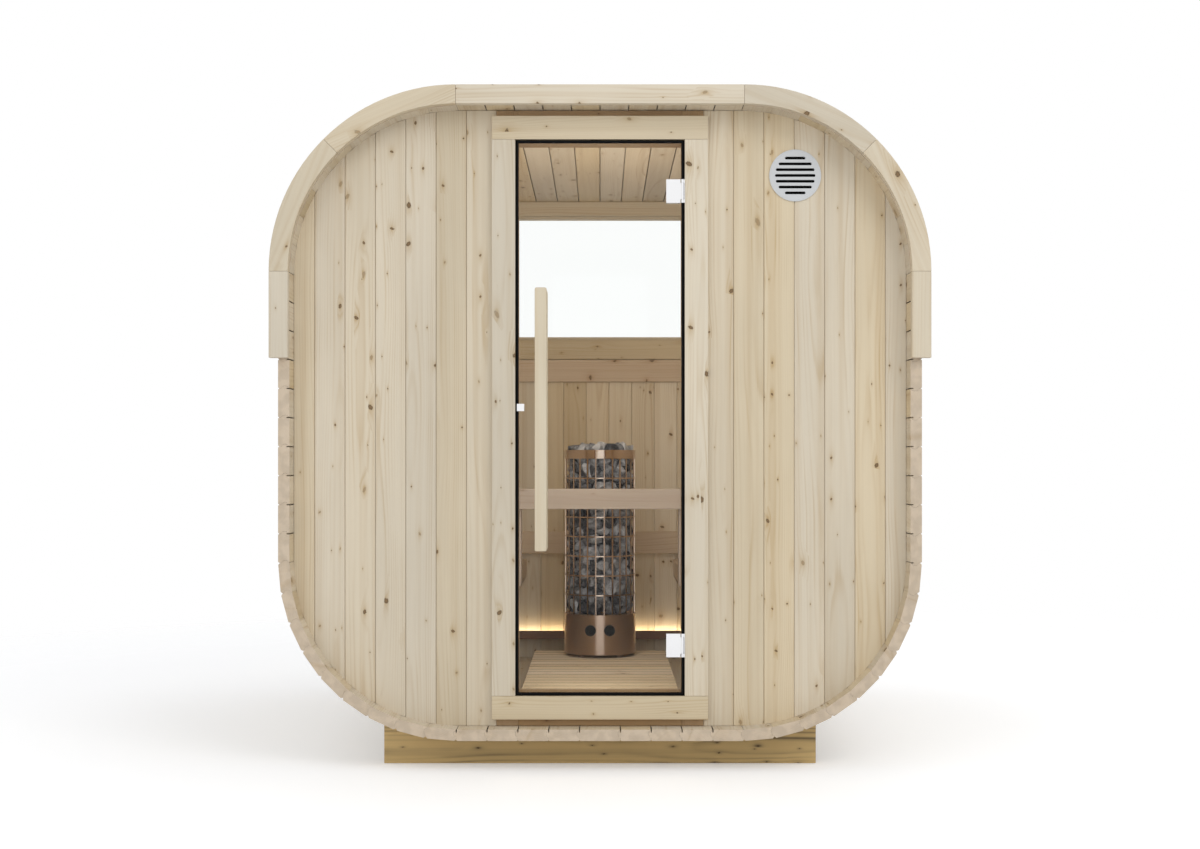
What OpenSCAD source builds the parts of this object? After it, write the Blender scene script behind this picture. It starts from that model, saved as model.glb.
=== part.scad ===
// Cube sauna: a rounded-square shell of bead-and-cove staves held by two steel
// bands on sawn cradles, with plank end walls let into the staves, a glass door,
// a rear window, benches, a slatted floor and a stone-filled column heater.
// Units are millimetres. X is across, Y runs from the door to the back, Z is up.
// The origin is on the ground, under the middle of the shell.

/* [Shell] */
// Outside width of the stave shell
shell_w = 2060; // [1900:10:2400]
// Outside height of the stave shell
shell_h = 2070; // [2070:10:2400]
// Length of the staves, from front to back
shell_l = 2030; // [1900:10:2600]
// Outside radius of the four rounded corners
corner_r = 570; // [500:10:620]
// Thickness of a stave
stave_t = 45; // [38:1:50]
// Number of staves in each rounded corner
corner_staves = 9; // [7:1:12]
// Number of staves in each upright side
side_staves = 10; // [8:1:14]
// Number of staves in the ceiling
ceiling_staves = 10; // [8:1:14]
// Number of staves on each side of the wide closing stave in the floor
floor_staves = 4; // [3:1:6]
// Width of the closing stave in the middle of the floor
closing_w = 131; // [100:1:150]
// Radius of the bead on a stave's edge
bead_r = 14; // [10:1:16]
// How far the bead stands out of the edge
bead_h = 8; // [5:1:9]
// Chamfer along a stave's outer edges
stave_chamfer = 3; // [1:0.5:5]
// How far a flat stave's edges draw in towards the room, which opens the joint there
stave_taper = 1.5; // [0:0.5:2]
// Gap between neighbouring staves
stave_gap = 0.4; // [0.2:0.1:0.8]
// Height of the shell above the ground
cradle_lift = 98; // [70:1:140]

/* [End walls] */
// Distance of a wall behind the ends of the staves
wall_inset = 75; // [50:1:120]
// Thickness of the end walls
wall_t = 45; // [30:1:60]
// Depth of the groove that takes the wall in the staves
croze_d = 8; // [5:1:12]
// Gap of the wall in its groove
croze_gap = 0.4; // [0.2:0.1:1]

/* [Doorway] */
// Width of the opening between the casing boards
casing_w = 548; // [500:1:700]
// Underside of the opening above the shell's underside
casing_z = 136; // [120:1:180]
// Height of the opening between the casing boards
casing_h = 1800; // [1700:5:1850]
// Width of a casing board
casing_b = 76; // [60:1:84]
// Thickness of a casing board
casing_t = 22; // [16:1:28]
// How far the door frame stands inside the casing opening
rebate = 8; // [6:1:12]
// Width of a door jamb
jamb_w = 70; // [60:1:76]
// Depth of the door frame, from the wall's face inwards
jamb_d = 85; // [60:1:110]
// Thickness of the seal
seal_t = 4; // [2:0.5:5]

/* [Door] */
// Thickness of the glass
glass_t = 8; // [6:1:10]
// Gap round the glass and behind it
door_gap = 5.2; // [5:0.1:7]
// Length of the wooden handle
handle_l = 845; // [400:5:1000]
// Width of the handle
handle_w = 38; // [30:1:50]
// Thickness of the handle
handle_t = 28; // [20:1:34]
// Distance of the handle from the glass
handle_gap = 32; // [25:1:40]
// Height of the handle's middle above the shell's underside
handle_z = 1029; // [900:5:1200]
// Distance of the handle's middle from the middle of the door
handle_x = 190; // [120:1:220]
// Height of a hinge
hinge_h = 76; // [60:1:100]
// Height of the lower hinge's middle above the shell's underside
hinge_z_low = 300; // [250:5:500]
// Height of the upper hinge's middle above the shell's underside
hinge_z_high = 1768; // [1500:2:1850]

/* [Window] */
// Width of the window's daylight opening
window_w = 790; // [500:10:800]
// Height of the window's daylight opening
window_h = 540; // [300:10:600]
// Width of the frame's top and sides
window_b = 60; // [50:1:64]
// Width of the frame's bottom rail
window_sill = 84; // [60:1:100]
// Thickness of the window pane
pane_t = 10; // [6:1:16]

/* [Benches] */
// Height of the bench top above the shell's underside
bench_z = 474; // [420:1:520]
// Distance of a bench's front from the middle
bench_x = 318; // [300:1:360]
// Thickness of bench boards
bench_t = 28; // [20:1:34]
// Height of the bench's front board
apron_h = 70; // [60:1:90]
// Width of a bench slat
bench_slat = 92; // [80:1:94]
// Number of slats in a bench, behind its front board
bench_slats = 6; // [3:1:6]
// Gap between bench slats
bench_gap = 10; // [6:1:12]
// Height of the board across the front of the heater
guard_h = 78; // [60:1:100]
// Top of that board above the shell's underside
guard_z = 792; // [700:1:900]
// Thickness of the guard's uprights
guard_t = 17; // [15:1:22]
// Half the length of the planks on the rear wall
plank_x = 700; // [600:10:740]
// Height of such a plank
plank_h = 95; // [80:1:110]
// Lower edge of the lower plank above the shell's underside
low_plank_z = 499; // [480:1:600]

/* [Floor grate] */
// Width of the slatted floor
grate_w = 524; // [460:2:560]
// Height of its top above the shell's underside
grate_z = 135; // [120:1:150]
// Number of its slats
grate_slats = 16; // [12:1:20]
// Gap between its slats
grate_gap = 9; // [6:1:14]
// Thickness of a slat
grate_t = 20; // [16:1:26]

/* [Heater] */
// Outside diameter of the heater
heater_d = 280; // [240:2:330]
// Height of the heater, from its feet to the top band
heater_h = 806; // [700:2:900]
// Height of the closed base
base_h = 155; // [120:1:200]
// Height of the feet
foot_h = 12; // [8:1:20]
// Number of upright bars in the stone cage
cage_bars = 26; // [18:2:32]
// Number of hoops between the base and the top band
cage_hoops = 7; // [5:1:9]
// Height of the top band
band_h = 34; // [25:1:50]
// Height of the heap of stones above the top band
heap_h = 34; // [10:1:50]

/* [Vent] */
// Diameter of the vent's cover
vent_d = 168; // [140:2:200]
// Distance of the vent from the middle
vent_x = 633; // [500:1:700]
// Height of the vent above the shell's underside
vent_z = 1822; // [1650:1:1840]
// Thickness of the vent's cover
vent_t = 4; // [2:0.5:6]
// Distance between the vent's slots
vent_pitch = 18.8; // [16:0.2:20]
// Height of a slot
vent_slot_h = 9; // [5:0.5:11]
// Diameter of the duct through the wall
duct_d = 140; // [135:1:150]

/* [Roof] */
// Lower end of the bow trim above the shell's underside
roof_z = 1225; // [1000:5:1400]
// Height of the roof's lower edge above the end of the bow trim
roof_lift = 22; // [0:1:40]
// Thickness of the roof's boarding and covering
roof_t = 22; // [18:1:30]
// Height of the drip edge along the foot of the roof
drip_h = 8; // [5:1:15]
// How far the drip edge stands out from the roof
drip_w = 5; // [3:1:10]
// Gap between the staves and the roof's boarding, where the bands run
roof_gap = 2; // [1.5:0.5:4]
// Width of the bow trim, measured across the shell
trim_w = 61; // [50:1:70]
// Thickness of the bow trim
trim_t = 28; // [20:1:34]

/* [Bands and cradles] */
// Width of a steel band
band_w = 30; // [20:1:40]
// Thickness of a steel band
band_t = 1.2; // [1:0.1:1.5]
// Distance of the bands from the ends of the staves
band_y = 300; // [240:10:500]
// Length of a band's tension rod
rod_l = 232; // [180:2:260]
// Diameter of a band's tension rod
rod_d = 8; // [6:1:10]
// Length of a cradle
cradle_w = 1420; // [1200:10:1500]
// Thickness of a cradle
cradle_t = 45; // [38:1:70]
// Distance of a cradle from the ends of the staves
cradle_y = 150; // [100:10:200]

/* [Hidden] */

$fn = 72;

// Shell
inner_r = corner_r - stave_t;
flat_w = shell_w - 2 * corner_r;
flat_h = shell_h - 2 * corner_r;
inner_top = shell_h - stave_t;
half_pitch = 45 / corner_staves;
bead_set = bead_r - bead_h;
inner_chamfer = stave_chamfer / 2;

// End walls
front_y = wall_inset;
front_back_y = wall_inset + wall_t;
rear_y = shell_l - wall_inset - wall_t;
fit = 0.3;

// Doorway and door
frame_x = casing_w / 2 - rebate;
jamb_out = frame_x + jamb_w;
frame_z0 = casing_z + rebate;
frame_z1 = casing_z + casing_h - rebate;
seal_w = 10;
seal_y = front_y - seal_t;
glass_y = seal_y - door_gap - glass_t;
glass_x = casing_w / 2 - door_gap;
glass_z0 = casing_z + door_gap;
glass_z1 = casing_z + casing_h - door_gap;
handle_corner = 5;
standoff_r = 9;

// Hinges: a pin beside the casing, in front of the glass
pin_r = 2.5;
pin_fit = 0.05;
knuckle_r = 5;
leaf_t = 2;
pin_x = casing_w / 2 - leaf_t - knuckle_r - 0.5;
pin_y = glass_y - 4;
plate_w = 46;
plate_t = 6;
lug_h = 11;
hinge_clear = 0.5;
notch_x = pin_x - knuckle_r - 1.5;
hinge_zs = [hinge_z_low, hinge_z_high];

// Window
window_z0 = shell_h - stave_t - window_b - window_h;
window_x = window_w / 2;
window_out = window_x + window_b;
window_front = 15;
window_depth = wall_t + window_front + 20;

// Benches and floor
room_y0 = front_y + jamb_d + 5;
bench_l = rear_y - room_y0 - fit;
slat_x0 = bench_x + bench_t + bench_gap;
bench_under = bench_z - bench_t;
bracket_low = bench_z - 144;
grate_y0 = room_y0;
bearer_w = 40;

// Heater
heater_y = room_y0 + 1070;
heater_r = heater_d / 2;
grate_l = heater_y + heater_r - grate_y0;
grate_slat = (grate_l - (grate_slats - 1) * grate_gap) / grate_slats;
heater_z0 = grate_z;
base_z0 = heater_z0 + foot_h;
base_z1 = base_z0 + base_h;
band_z1 = heater_z0 + heater_h;
band_z0 = band_z1 - band_h;
sheet_t = 2;
bar_w = 6;
bar_in = heater_r - 6;
bar_out = heater_r - sheet_t + 0.6;
hoop_in = heater_r - 3;
hoop_h = 5;
stone_r = bar_in - 1;
guard_y = heater_y - heater_r - 30 - bench_t - 28;

// Vent
vent_slot_r = vent_d / 2 - 18.5;
vent_side_slots = 3;

// Bands
band_r = corner_r + 0.2;
rod_angle = -33.5;
rod_out = band_r + band_t + rod_d / 2 + 0.6;

// ---- Placing -------------------------------------------------------------

// Puts shell coordinates (Y from the stave ends, Z from the shell's underside)
// into the model's frame.
module in_shell() {
    translate([0, -shell_l / 2, cradle_lift]) children();
}

// Extrudes an X-Z outline along Y, from y0 over len.
module along_y(y0, len) {
    translate([0, y0 + len, 0]) rotate([90, 0, 0]) linear_extrude(len) children();
}

// A plain block between two corners.
module block(low, high) {
    translate(low) cube(high - low);
}

module both_sides() {
    children();
    mirror([1, 0, 0]) children();
}

module both_ends() {
    children();
    translate([0, shell_l, 0]) mirror([0, 1, 0]) children();
}

// ---- Outlines ------------------------------------------------------------

// The shell's rounded square, grown (or shrunk) by an offset from its outside.
module shell_outline(grow) {
    r = corner_r + grow;
    translate([-flat_w / 2, -grow]) square([flat_w, shell_h + 2 * grow]);
    translate([-shell_w / 2 - grow, corner_r]) square([shell_w + 2 * grow, flat_h]);
    for (x = [-flat_w / 2, flat_w / 2], z = [corner_r, shell_h - corner_r])
        translate([x, z]) circle(r = r, $fn = 144);
}

// The room's outline, which end walls and brackets are cut to.
module room_outline(grow) {
    shell_outline(grow - stave_t);
}

// ---- Staves --------------------------------------------------------------

function turned(p, a) = [p.x * cos(a) - p.y * sin(a), p.x * sin(a) + p.y * cos(a)];

// A flat stave: outer face up at y 0, bead on the right, cove on the left. From
// half its thickness down its edges draw in, so the joint is tight only outside.
module flat_stave(w) {
    e = w / 2 - stave_gap / 2;
    n = e - stave_taper;
    c = stave_chamfer;
    i = inner_chamfer;
    difference() {
        union() {
            polygon([
                [-e, -c], [-e + c, 0], [e - c, 0], [e, -c], [e, -stave_t / 2],
                [n, i - stave_t], [n - i, -stave_t], [i - n, -stave_t], [-n, i - stave_t],
                [-e, -stave_t / 2]
            ]);
            translate([w / 2 - bead_set, -stave_t / 2]) circle(r = bead_r);
        }
        translate([-w / 2 - bead_set, -stave_t / 2]) circle(r = bead_r + stave_gap);
    }
}

// A corner stave, a wedge about the corner's centre, pointing up.
module wedge_stave() {
    h = half_pitch;
    g = stave_gap / 2;
    c = stave_chamfer;
    i = inner_chamfer;
    right = [
        [corner_r * sin(h) - g - c, corner_r * cos(h)],
        turned([-g, corner_r - c], -h),
        turned([-g, inner_r + i], -h),
        [inner_r * sin(h) - g - i, inner_r * cos(h)]
    ];
    left = [for (k = [len(right) - 1 : -1 : 0]) [-right[k].x, right[k].y]];
    difference() {
        union() {
            polygon(concat(right, left));
            rotate(-h) translate([-bead_set, corner_r - stave_t / 2]) circle(r = bead_r);
        }
        rotate(h) translate([-bead_set, corner_r - stave_t / 2])
            circle(r = bead_r + stave_gap);
    }
}

// The grooves that take the end walls.
module crozes() {
    for (y = [front_y, rear_y])
        along_y(y - croze_gap / 2, wall_t + croze_gap) room_outline(croze_d);
}

module finished_stave() {
    difference() {
        along_y(0, shell_l) children();
        crozes();
    }
}

// A row of flat staves along one side of the shell, seen as a ceiling.
module stave_row(count, width) {
    w = width / count;
    for (k = [0 : count - 1]) translate([(k + 0.5) * w - width / 2, 0]) flat_stave(w);
}

// The floor's row: a wide closing stave with narrower ones on both sides.
module closed_row(width) {
    w = (width - closing_w) / 2 / floor_staves;
    flat_stave(closing_w);
    for (s = [-1, 1], k = [0 : floor_staves - 1])
        translate([s * (closing_w / 2 + (k + 0.5) * w), 0]) flat_stave(w);
}

module wedge_row() {
    for (k = [0 : corner_staves - 1]) rotate(-(2 * k + 1) * half_pitch) wedge_stave();
}

module side_staves(s) {
    color("burlywood") finished_stave()
        translate([s * shell_w / 2, shell_h / 2]) rotate(-s * 90) stave_row(side_staves, flat_h);
}

// A corner's staves; the first of them stands at the angle start.
module corner_staves(s, z, start) {
    color("wheat") finished_stave()
        translate([s * flat_w / 2, z]) rotate(start) wedge_row();
}

module ceiling_staves() {
    color("burlywood") finished_stave() translate([0, shell_h]) stave_row(ceiling_staves, flat_w);
}

module floor_staves() {
    color("burlywood") finished_stave() rotate(180) closed_row(flat_w);
}

// ---- Cradles -------------------------------------------------------------

module cradles() {
    color("darkkhaki") both_ends() along_y(cradle_y, cradle_t) difference() {
        translate([-cradle_w / 2, -cradle_lift]) square([cradle_w, cradle_lift + corner_r / 2]);
        shell_outline(0);
        translate([-shell_w / 2, corner_r / 4]) square([shell_w, shell_h]);
    }
}

// ---- End walls -----------------------------------------------------------

// A piece of end wall between x0 and x1, from z0 to z1, let into the staves.
module wall_piece(y, x0, x1, z0, z1) {
    along_y(y, wall_t) intersection() {
        room_outline(croze_d - croze_gap);
        translate([x0, z0]) square([x1 - x0, z1 - z0]);
    }
}

module front_wall_left() {
    color("wheat") wall_piece(front_y, -shell_w, -jamb_out - fit, 0, shell_h);
}

module front_wall_right() {
    color("wheat") difference() {
        wall_piece(front_y, jamb_out + fit, shell_w, 0, shell_h);
        translate([vent_x, front_y - 1, vent_z]) rotate([-90, 0, 0])
            cylinder(d = duct_d, h = wall_t + 2);
    }
}

module rear_wall_left() {
    color("wheat") wall_piece(rear_y, -shell_w, -window_out - fit, 0, shell_h);
}

module rear_wall_right() {
    color("wheat") mirror([1, 0, 0]) rear_wall_left();
}

module rear_wall_below() {
    color("wheat")
        wall_piece(rear_y, -window_out, window_out, 0, window_z0 - window_sill - fit);
}

// ---- Door frame ----------------------------------------------------------

module door_jamb(s) {
    x0 = s > 0 ? frame_x : -jamb_out;
    color("tan") block(
        [x0, front_y, stave_t + fit],
        [x0 + jamb_w, front_y + jamb_d, inner_top - fit]
    );
}

module door_jamb_left() {
    door_jamb(-1);
}

module door_jamb_right() {
    door_jamb(1);
}

// The head and the sill between the jambs.
module door_rails() {
    x = frame_x - fit;
    color("tan") {
        block([-x, front_y, frame_z1], [x, front_y + jamb_d, inner_top - fit]);
        block([-x, front_y, stave_t + fit], [x, front_y + jamb_d, frame_z0]);
    }
}

module door_casing() {
    x = casing_w / 2;
    z0 = casing_z;
    z1 = casing_z + casing_h;
    y0 = front_y - casing_t;
    color("wheat") {
        both_sides() block([x, y0, z0 + fit], [x + casing_b, front_y, z1 - fit]);
        block([-x - casing_b, y0, z1], [x + casing_b, front_y, z1 + casing_b]);
        block([-x - casing_b, y0, z0 - casing_b], [x + casing_b, front_y, z0]);
    }
}

module door_seal() {
    x = casing_w / 2 - fit;
    z0 = casing_z + fit;
    z1 = casing_z + casing_h - fit;
    color([0.08, 0.08, 0.08]) difference() {
        block([-x, seal_y, z0], [x, front_y, z1]);
        block([seal_w - x, seal_y - 1, z0 + seal_w], [x - seal_w, front_y + 1, z1 - seal_w]);
    }
}

// ---- Door ----------------------------------------------------------------

// The frame's half of a hinge: a leaf on the casing, two lugs and the pin.
module hinge_leaf(z) {
    x1 = casing_w / 2;
    low = z - hinge_h / 2;
    color("silver") {
        block([x1 - leaf_t, pin_y - knuckle_r, low], [x1, seal_y - fit, low + hinge_h]);
        for (k = [low, low + hinge_h - lug_h]) {
            translate([pin_x, pin_y, k]) cylinder(r = knuckle_r, h = lug_h);
            block([pin_x, pin_y - 2, k], [x1 - leaf_t, pin_y + 2, k + lug_h]);
        }
        translate([pin_x, pin_y, low]) cylinder(r = pin_r, h = hinge_h);
    }
}

module hinge_leaves() {
    color("silver") for (z = hinge_zs) union() hinge_leaf(z);
}

// The door's half: plates before and behind the glass, and a knuckle on the pin.
module hinge_plate(z) {
    low = z - hinge_h / 2;
    knuckle_z = low + lug_h + hinge_clear;
    knuckle_h = hinge_h - 2 * (lug_h + hinge_clear);
    x0 = notch_x - plate_w;
    difference() {
        union() {
            block([x0, glass_y - plate_t, low], [notch_x, glass_y, low + hinge_h]);
            block([x0, glass_y + glass_t, low], [notch_x, glass_y + glass_t + plate_t, low + hinge_h]);
            block(
                [notch_x - 4, glass_y - plate_t, knuckle_z],
                [notch_x, glass_y + glass_t + plate_t, knuckle_z + knuckle_h]
            );
            block(
                [notch_x - 4, pin_y - plate_t / 2, knuckle_z],
                [pin_x, pin_y + plate_t / 2, knuckle_z + knuckle_h]
            );
            translate([pin_x, pin_y, knuckle_z]) cylinder(r = knuckle_r, h = knuckle_h);
        }
        translate([pin_x, pin_y, low - 1]) cylinder(r = pin_r + pin_fit, h = hinge_h + 2);
    }
}

module hinge_plates() {
    color("silver") for (z = hinge_zs) hinge_plate(z);
}

// The pane, with a notch in its edge for each hinge.
module door_glass() {
    color([0.7, 0.85, 0.85, 0.4]) difference() {
        block([-glass_x, glass_y, glass_z0], [glass_x, glass_y + glass_t, glass_z1]);
        for (z = hinge_zs)
            block(
                [notch_x - 4 - fit / 2, glass_y - 1, z - hinge_h / 2 - 2],
                [glass_x + 1, glass_y + glass_t + 1, z + hinge_h / 2 + 2]
            );
    }
}

// One handle bar with its two standoffs, from the glass face at y.
module handle_bar(y) {
    c = handle_corner;
    z0 = handle_z - handle_l / 2;
    z1 = handle_z + handle_l / 2;
    x0 = -handle_x - handle_w / 2;
    x1 = -handle_x + handle_w / 2;
    far = handle_gap + handle_t;
    translate([0, y - far, 0]) {
        along_y(0, handle_t) {
            polygon([
                [x0 + c, z0], [x1 - c, z0], [x1, z0 + c], [x1, z1 - c],
                [x1 - c, z1], [x0 + c, z1], [x0, z1 - c], [x0, z0 + c]
            ]);
        }
        for (z = [handle_z - handle_l / 3, handle_z + handle_l / 3])
            translate([-handle_x, handle_t, z]) rotate([-90, 0, 0])
                cylinder(r = standoff_r, h = handle_gap);
    }
}

module door_handle() {
    color("wheat") {
        handle_bar(glass_y);
        translate([0, 2 * glass_y + glass_t, 0]) mirror([0, 1, 0]) handle_bar(glass_y);
    }
}

// The catch: a small clip over the pane's free edge.
module door_catch() {
    clip_w = 24;
    clip_t = 3;
    x0 = -glass_x;
    z0 = handle_z + 28;
    color("silver") {
        block([x0, glass_y - clip_t, z0], [x0 + clip_w, glass_y, z0 + clip_w]);
        block(
            [x0 + seal_w, glass_y + glass_t, z0],
            [x0 + clip_w, glass_y + glass_t + clip_t, z0 + clip_w]
        );
    }
}

// ---- Window --------------------------------------------------------------

module window_frame() {
    y0 = rear_y - window_front;
    z1 = window_z0 + window_h;
    color("tan") difference() {
        block(
            [-window_out, y0, window_z0 - window_sill],
            [window_out, y0 + window_depth, inner_top - fit]
        );
        block([-window_x, y0 - 1, window_z0], [window_x, y0 + window_depth + 1, z1]);
    }
}

module window_glass() {
    g = fit;
    y = rear_y + wall_t / 2;
    color([0.7, 0.85, 0.85, 0.4]) block(
        [g - window_x, y, window_z0 + g],
        [window_x - g, y + pane_t, window_z0 + window_h - g]
    );
}

// ---- Inside --------------------------------------------------------------

// The board under the window and the lower one behind the heater.
module rear_boards() {
    color("tan") for (z = [window_z0 - window_sill - 3 - plank_h, low_plank_z])
        block([-plank_x, rear_y - bench_t, z], [plank_x, rear_y, z + plank_h]);
}

module light_rail() {
    color("sienna") intersection() {
        difference() {
            block([-740, rear_y - 45, grate_z - 5], [740, rear_y, grate_z + 30]);
            block([-735, rear_y - 33, grate_z + 18], [735, rear_y + 1, grate_z + 31]);
        }
        along_y(rear_y - 45, 45) room_outline(-fit);
    }
}

module light_strip() {
    color("lightyellow")
        block([-730, rear_y - 28, grate_z + 18], [730, rear_y - 8, grate_z + 24]);
}

module floor_grate() {
    pitch = grate_slat + grate_gap;
    color("burlywood") {
        for (k = [0 : grate_slats - 1])
            block(
                [-grate_w / 2, grate_y0 + k * pitch, grate_z - grate_t],
                [grate_w / 2, grate_y0 + k * pitch + grate_slat, grate_z]
            );
        for (x = [-grate_w / 2 + 12, -bearer_w / 2, grate_w / 2 - 12 - bearer_w])
            block([x, grate_y0, stave_t], [x + bearer_w, grate_y0 + grate_l, grate_z - grate_t]);
    }
}

module bench() {
    pitch = bench_slat + bench_gap;
    block(
        [bench_x, room_y0, bench_z - apron_h],
        [bench_x + bench_t, room_y0 + bench_l, bench_z]
    );
    for (k = [0 : bench_slats - 1])
        block(
            [slat_x0 + k * pitch, room_y0, bench_under],
            [slat_x0 + k * pitch + bench_slat, room_y0 + bench_l, bench_z]
        );
}

module bench_right() {
    color("burlywood") bench();
}

module bench_left() {
    color("burlywood") mirror([1, 0, 0]) bench();
}

// Brackets under the benches, with a slanting nose below the front board.
module bench_brackets() {
    t = bench_t;
    nose = bench_z - apron_h;
    last = rear_y - fit - t;
    color("tan") both_sides() for (y = [room_y0, (room_y0 + last) / 2, last])
        along_y(y, t) intersection() {
            polygon([
                [bench_x, nose], [bench_x + (nose - bracket_low) / 2, bracket_low],
                [shell_w / 2, bracket_low], [shell_w / 2, bench_under],
                [bench_x + t, bench_under], [bench_x + t, nose]
            ]);
            room_outline(-3);
        }
}

// The board across the heater's front, on two uprights fixed to the benches.
module heater_guard() {
    x0 = bench_x - guard_t;
    post_w = 60;
    color("rosybrown") {
        block([-bench_x, guard_y, guard_z - guard_h], [bench_x, guard_y + bench_t, guard_z]);
        both_sides() block(
            [x0, guard_y + bench_t, bench_z - apron_h + 14],
            [bench_x, guard_y + bench_t + post_w, guard_z]
        );
    }
}

// ---- Heater --------------------------------------------------------------

module heater_base() {
    r = heater_r;
    color("peru") translate([0, heater_y, 0]) {
        translate([0, 0, base_z0]) rotate_extrude() polygon([
            [0, 0], [r - 8, 0], [r - 3, 3], [r, 10], [r, base_h], [0, base_h]
        ]);
        for (a = [45 : 90 : 315])
            rotate(a) translate([heater_r - 36, 0, heater_z0]) {
                cylinder(r = 14, h = 4);
                cylinder(r = 6, h = foot_h);
            }
    }
}

module heater_knobs() {
    knob_x = 37;
    knob_r = 21;
    knob_out = 14;
    knob_z = base_z0 + base_h * 0.62;
    face = sqrt(heater_r * heater_r - knob_x * knob_x);
    color([0.1, 0.1, 0.1]) translate([0, heater_y, knob_z]) difference() {
        for (x = [-knob_x, knob_x])
            translate([x, -face - knob_out, 0]) rotate([-90, 0, 0])
                cylinder(r = knob_r, h = knob_out + knob_r);
        translate([0, 0, -knob_x]) cylinder(r = heater_r, h = 2 * knob_x);
    }
}

module heater_cage() {
    color("peru") translate([0, heater_y, 0]) {
        translate([0, 0, band_z0]) rotate_extrude()
            translate([heater_r - sheet_t, 0]) square([sheet_t, band_h]);
        for (k = [0 : cage_bars - 1])
            rotate((k + 0.5) * 360 / cage_bars - 90)
                translate([bar_in, -bar_w / 2, base_z1])
                    cube([bar_out - bar_in, bar_w, band_z0 + 4 - base_z1]);
        for (k = [1 : cage_hoops])
            translate([0, 0, base_z1 + k * (band_z0 - base_z1) / (cage_hoops + 1)])
                rotate_extrude() translate([hoop_in, -hoop_h / 2])
                    square([heater_r - hoop_in, hoop_h]);
    }
}

// The stones as one heap: a column inside the cage with a domed top.
module heater_stones() {
    r = stone_r;
    top = band_z1 - base_z1;
    color("dimgray") translate([0, heater_y, base_z1]) rotate_extrude() polygon([
        [0, 0], [r, 0], [r, top], [r * 0.8, top + heap_h * 0.6],
        [r * 0.45, top + heap_h * 0.9], [0, top + heap_h]
    ]);
}

// ---- Vent ----------------------------------------------------------------

module vent_slot(half) {
    end_r = vent_slot_h / 2;
    translate([end_r - half, -end_r]) square([2 * (half - end_r), vent_slot_h]);
    for (x = [end_r - half, half - end_r]) translate([x, 0]) circle(r = end_r);
}

// A round cover with a row of slots, and the sleeve that stands in the duct.
module vent_grille() {
    wall = 2;
    sleeve_l = 20;
    color("gainsboro") translate([vent_x, front_y, vent_z]) rotate([90, 0, 0]) {
        linear_extrude(vent_t) difference() {
            circle(d = vent_d);
            for (k = [-vent_side_slots : vent_side_slots])
                translate([0, k * vent_pitch])
                    vent_slot(sqrt(pow(vent_slot_r, 2) - pow(k * vent_pitch, 2)));
        }
        translate([0, 0, -sleeve_l]) linear_extrude(sleeve_l) difference() {
            circle(d = duct_d - 1);
            circle(d = duct_d - 1 - 2 * wall);
        }
    }
}

// ---- Steel bands ---------------------------------------------------------

module tension_rod() {
    rotate(rod_angle) translate([rod_out, 0, 0]) {
        rotate([90, 0, 0]) translate([0, 0, -rod_l / 2]) cylinder(d = rod_d, h = rod_l);
        for (s = [-1, 1]) translate([0, s * (rod_l / 2 - 14), -band_w / 2])
            cylinder(r = rod_d, h = band_w);
    }
}

module band() {
    color("silver") union() {
        along_y(0, band_w) difference() {
            shell_outline(0.2 + band_t);
            shell_outline(0.2);
        }
        translate([flat_w / 2, band_w / 2, corner_r]) rotate([90, 0, 0]) tension_rod();
    }
}

module bands() {
    translate([0, band_y, 0]) band();
    translate([0, shell_l - band_y - band_w, 0]) band();
}

// ---- Roof ----------------------------------------------------------------

module roof_shell() {
    difference() {
        shell_outline(roof_gap + roof_t);
        shell_outline(roof_gap);
        translate([-shell_w, -corner_r]) square([2 * shell_w, roof_z + roof_lift + corner_r]);
    }
}

// One side of the roof, with the drip edge that throws the water clear of the staves.
module roof_side() {
    along_y(0, shell_l) {
        intersection() {
            roof_shell();
            translate([flat_w / 2 + fit / 2, 0]) square([shell_w, 2 * shell_h]);
        }
        translate([shell_w / 2 + roof_gap + roof_t / 2, roof_z + roof_lift])
            square([roof_t / 2 + drip_w, drip_h]);
    }
}

module roof_right() {
    color("dimgray") roof_side();
}

module roof_left() {
    color("dimgray") mirror([1, 0, 0]) roof_side();
}

module roof_top() {
    color("dimgray") along_y(0, shell_l) intersection() {
        roof_shell();
        translate([-flat_w / 2, 0]) square([flat_w, 2 * shell_h]);
    }
}

module bow_outline() {
    out = roof_gap + roof_t + 1;
    difference() {
        shell_outline(out);
        shell_outline(out - trim_w);
    }
}

// A bow side: the straight foot and the two sawn pieces round the corner.
module bow_side() {
    c = [flat_w / 2, shell_h - corner_r];
    far = 2 * corner_r;
    along_y(-trim_t, trim_t) {
        intersection() {
            bow_outline();
            translate([0, roof_z]) square([shell_w, c.y - roof_z - fit / 2]);
        }
        for (a = [0, 45]) intersection() {
            bow_outline();
            translate(c) rotate(a) polygon([
                [fit, fit / 2], [far, fit / 2], [far, far - fit], [fit, 0]
            ]);
        }
    }
}

module trim_right() {
    color("wheat") both_ends() bow_side();
}

module trim_left() {
    color("wheat") both_ends() mirror([1, 0, 0]) bow_side();
}

module trim_top() {
    color("wheat") both_ends() along_y(-trim_t, trim_t) intersection() {
        bow_outline();
        translate([-flat_w / 2 + fit, shell_h / 2]) square([flat_w - 2 * fit, shell_h]);
    }
}

// ---- Assembly ------------------------------------------------------------

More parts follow.
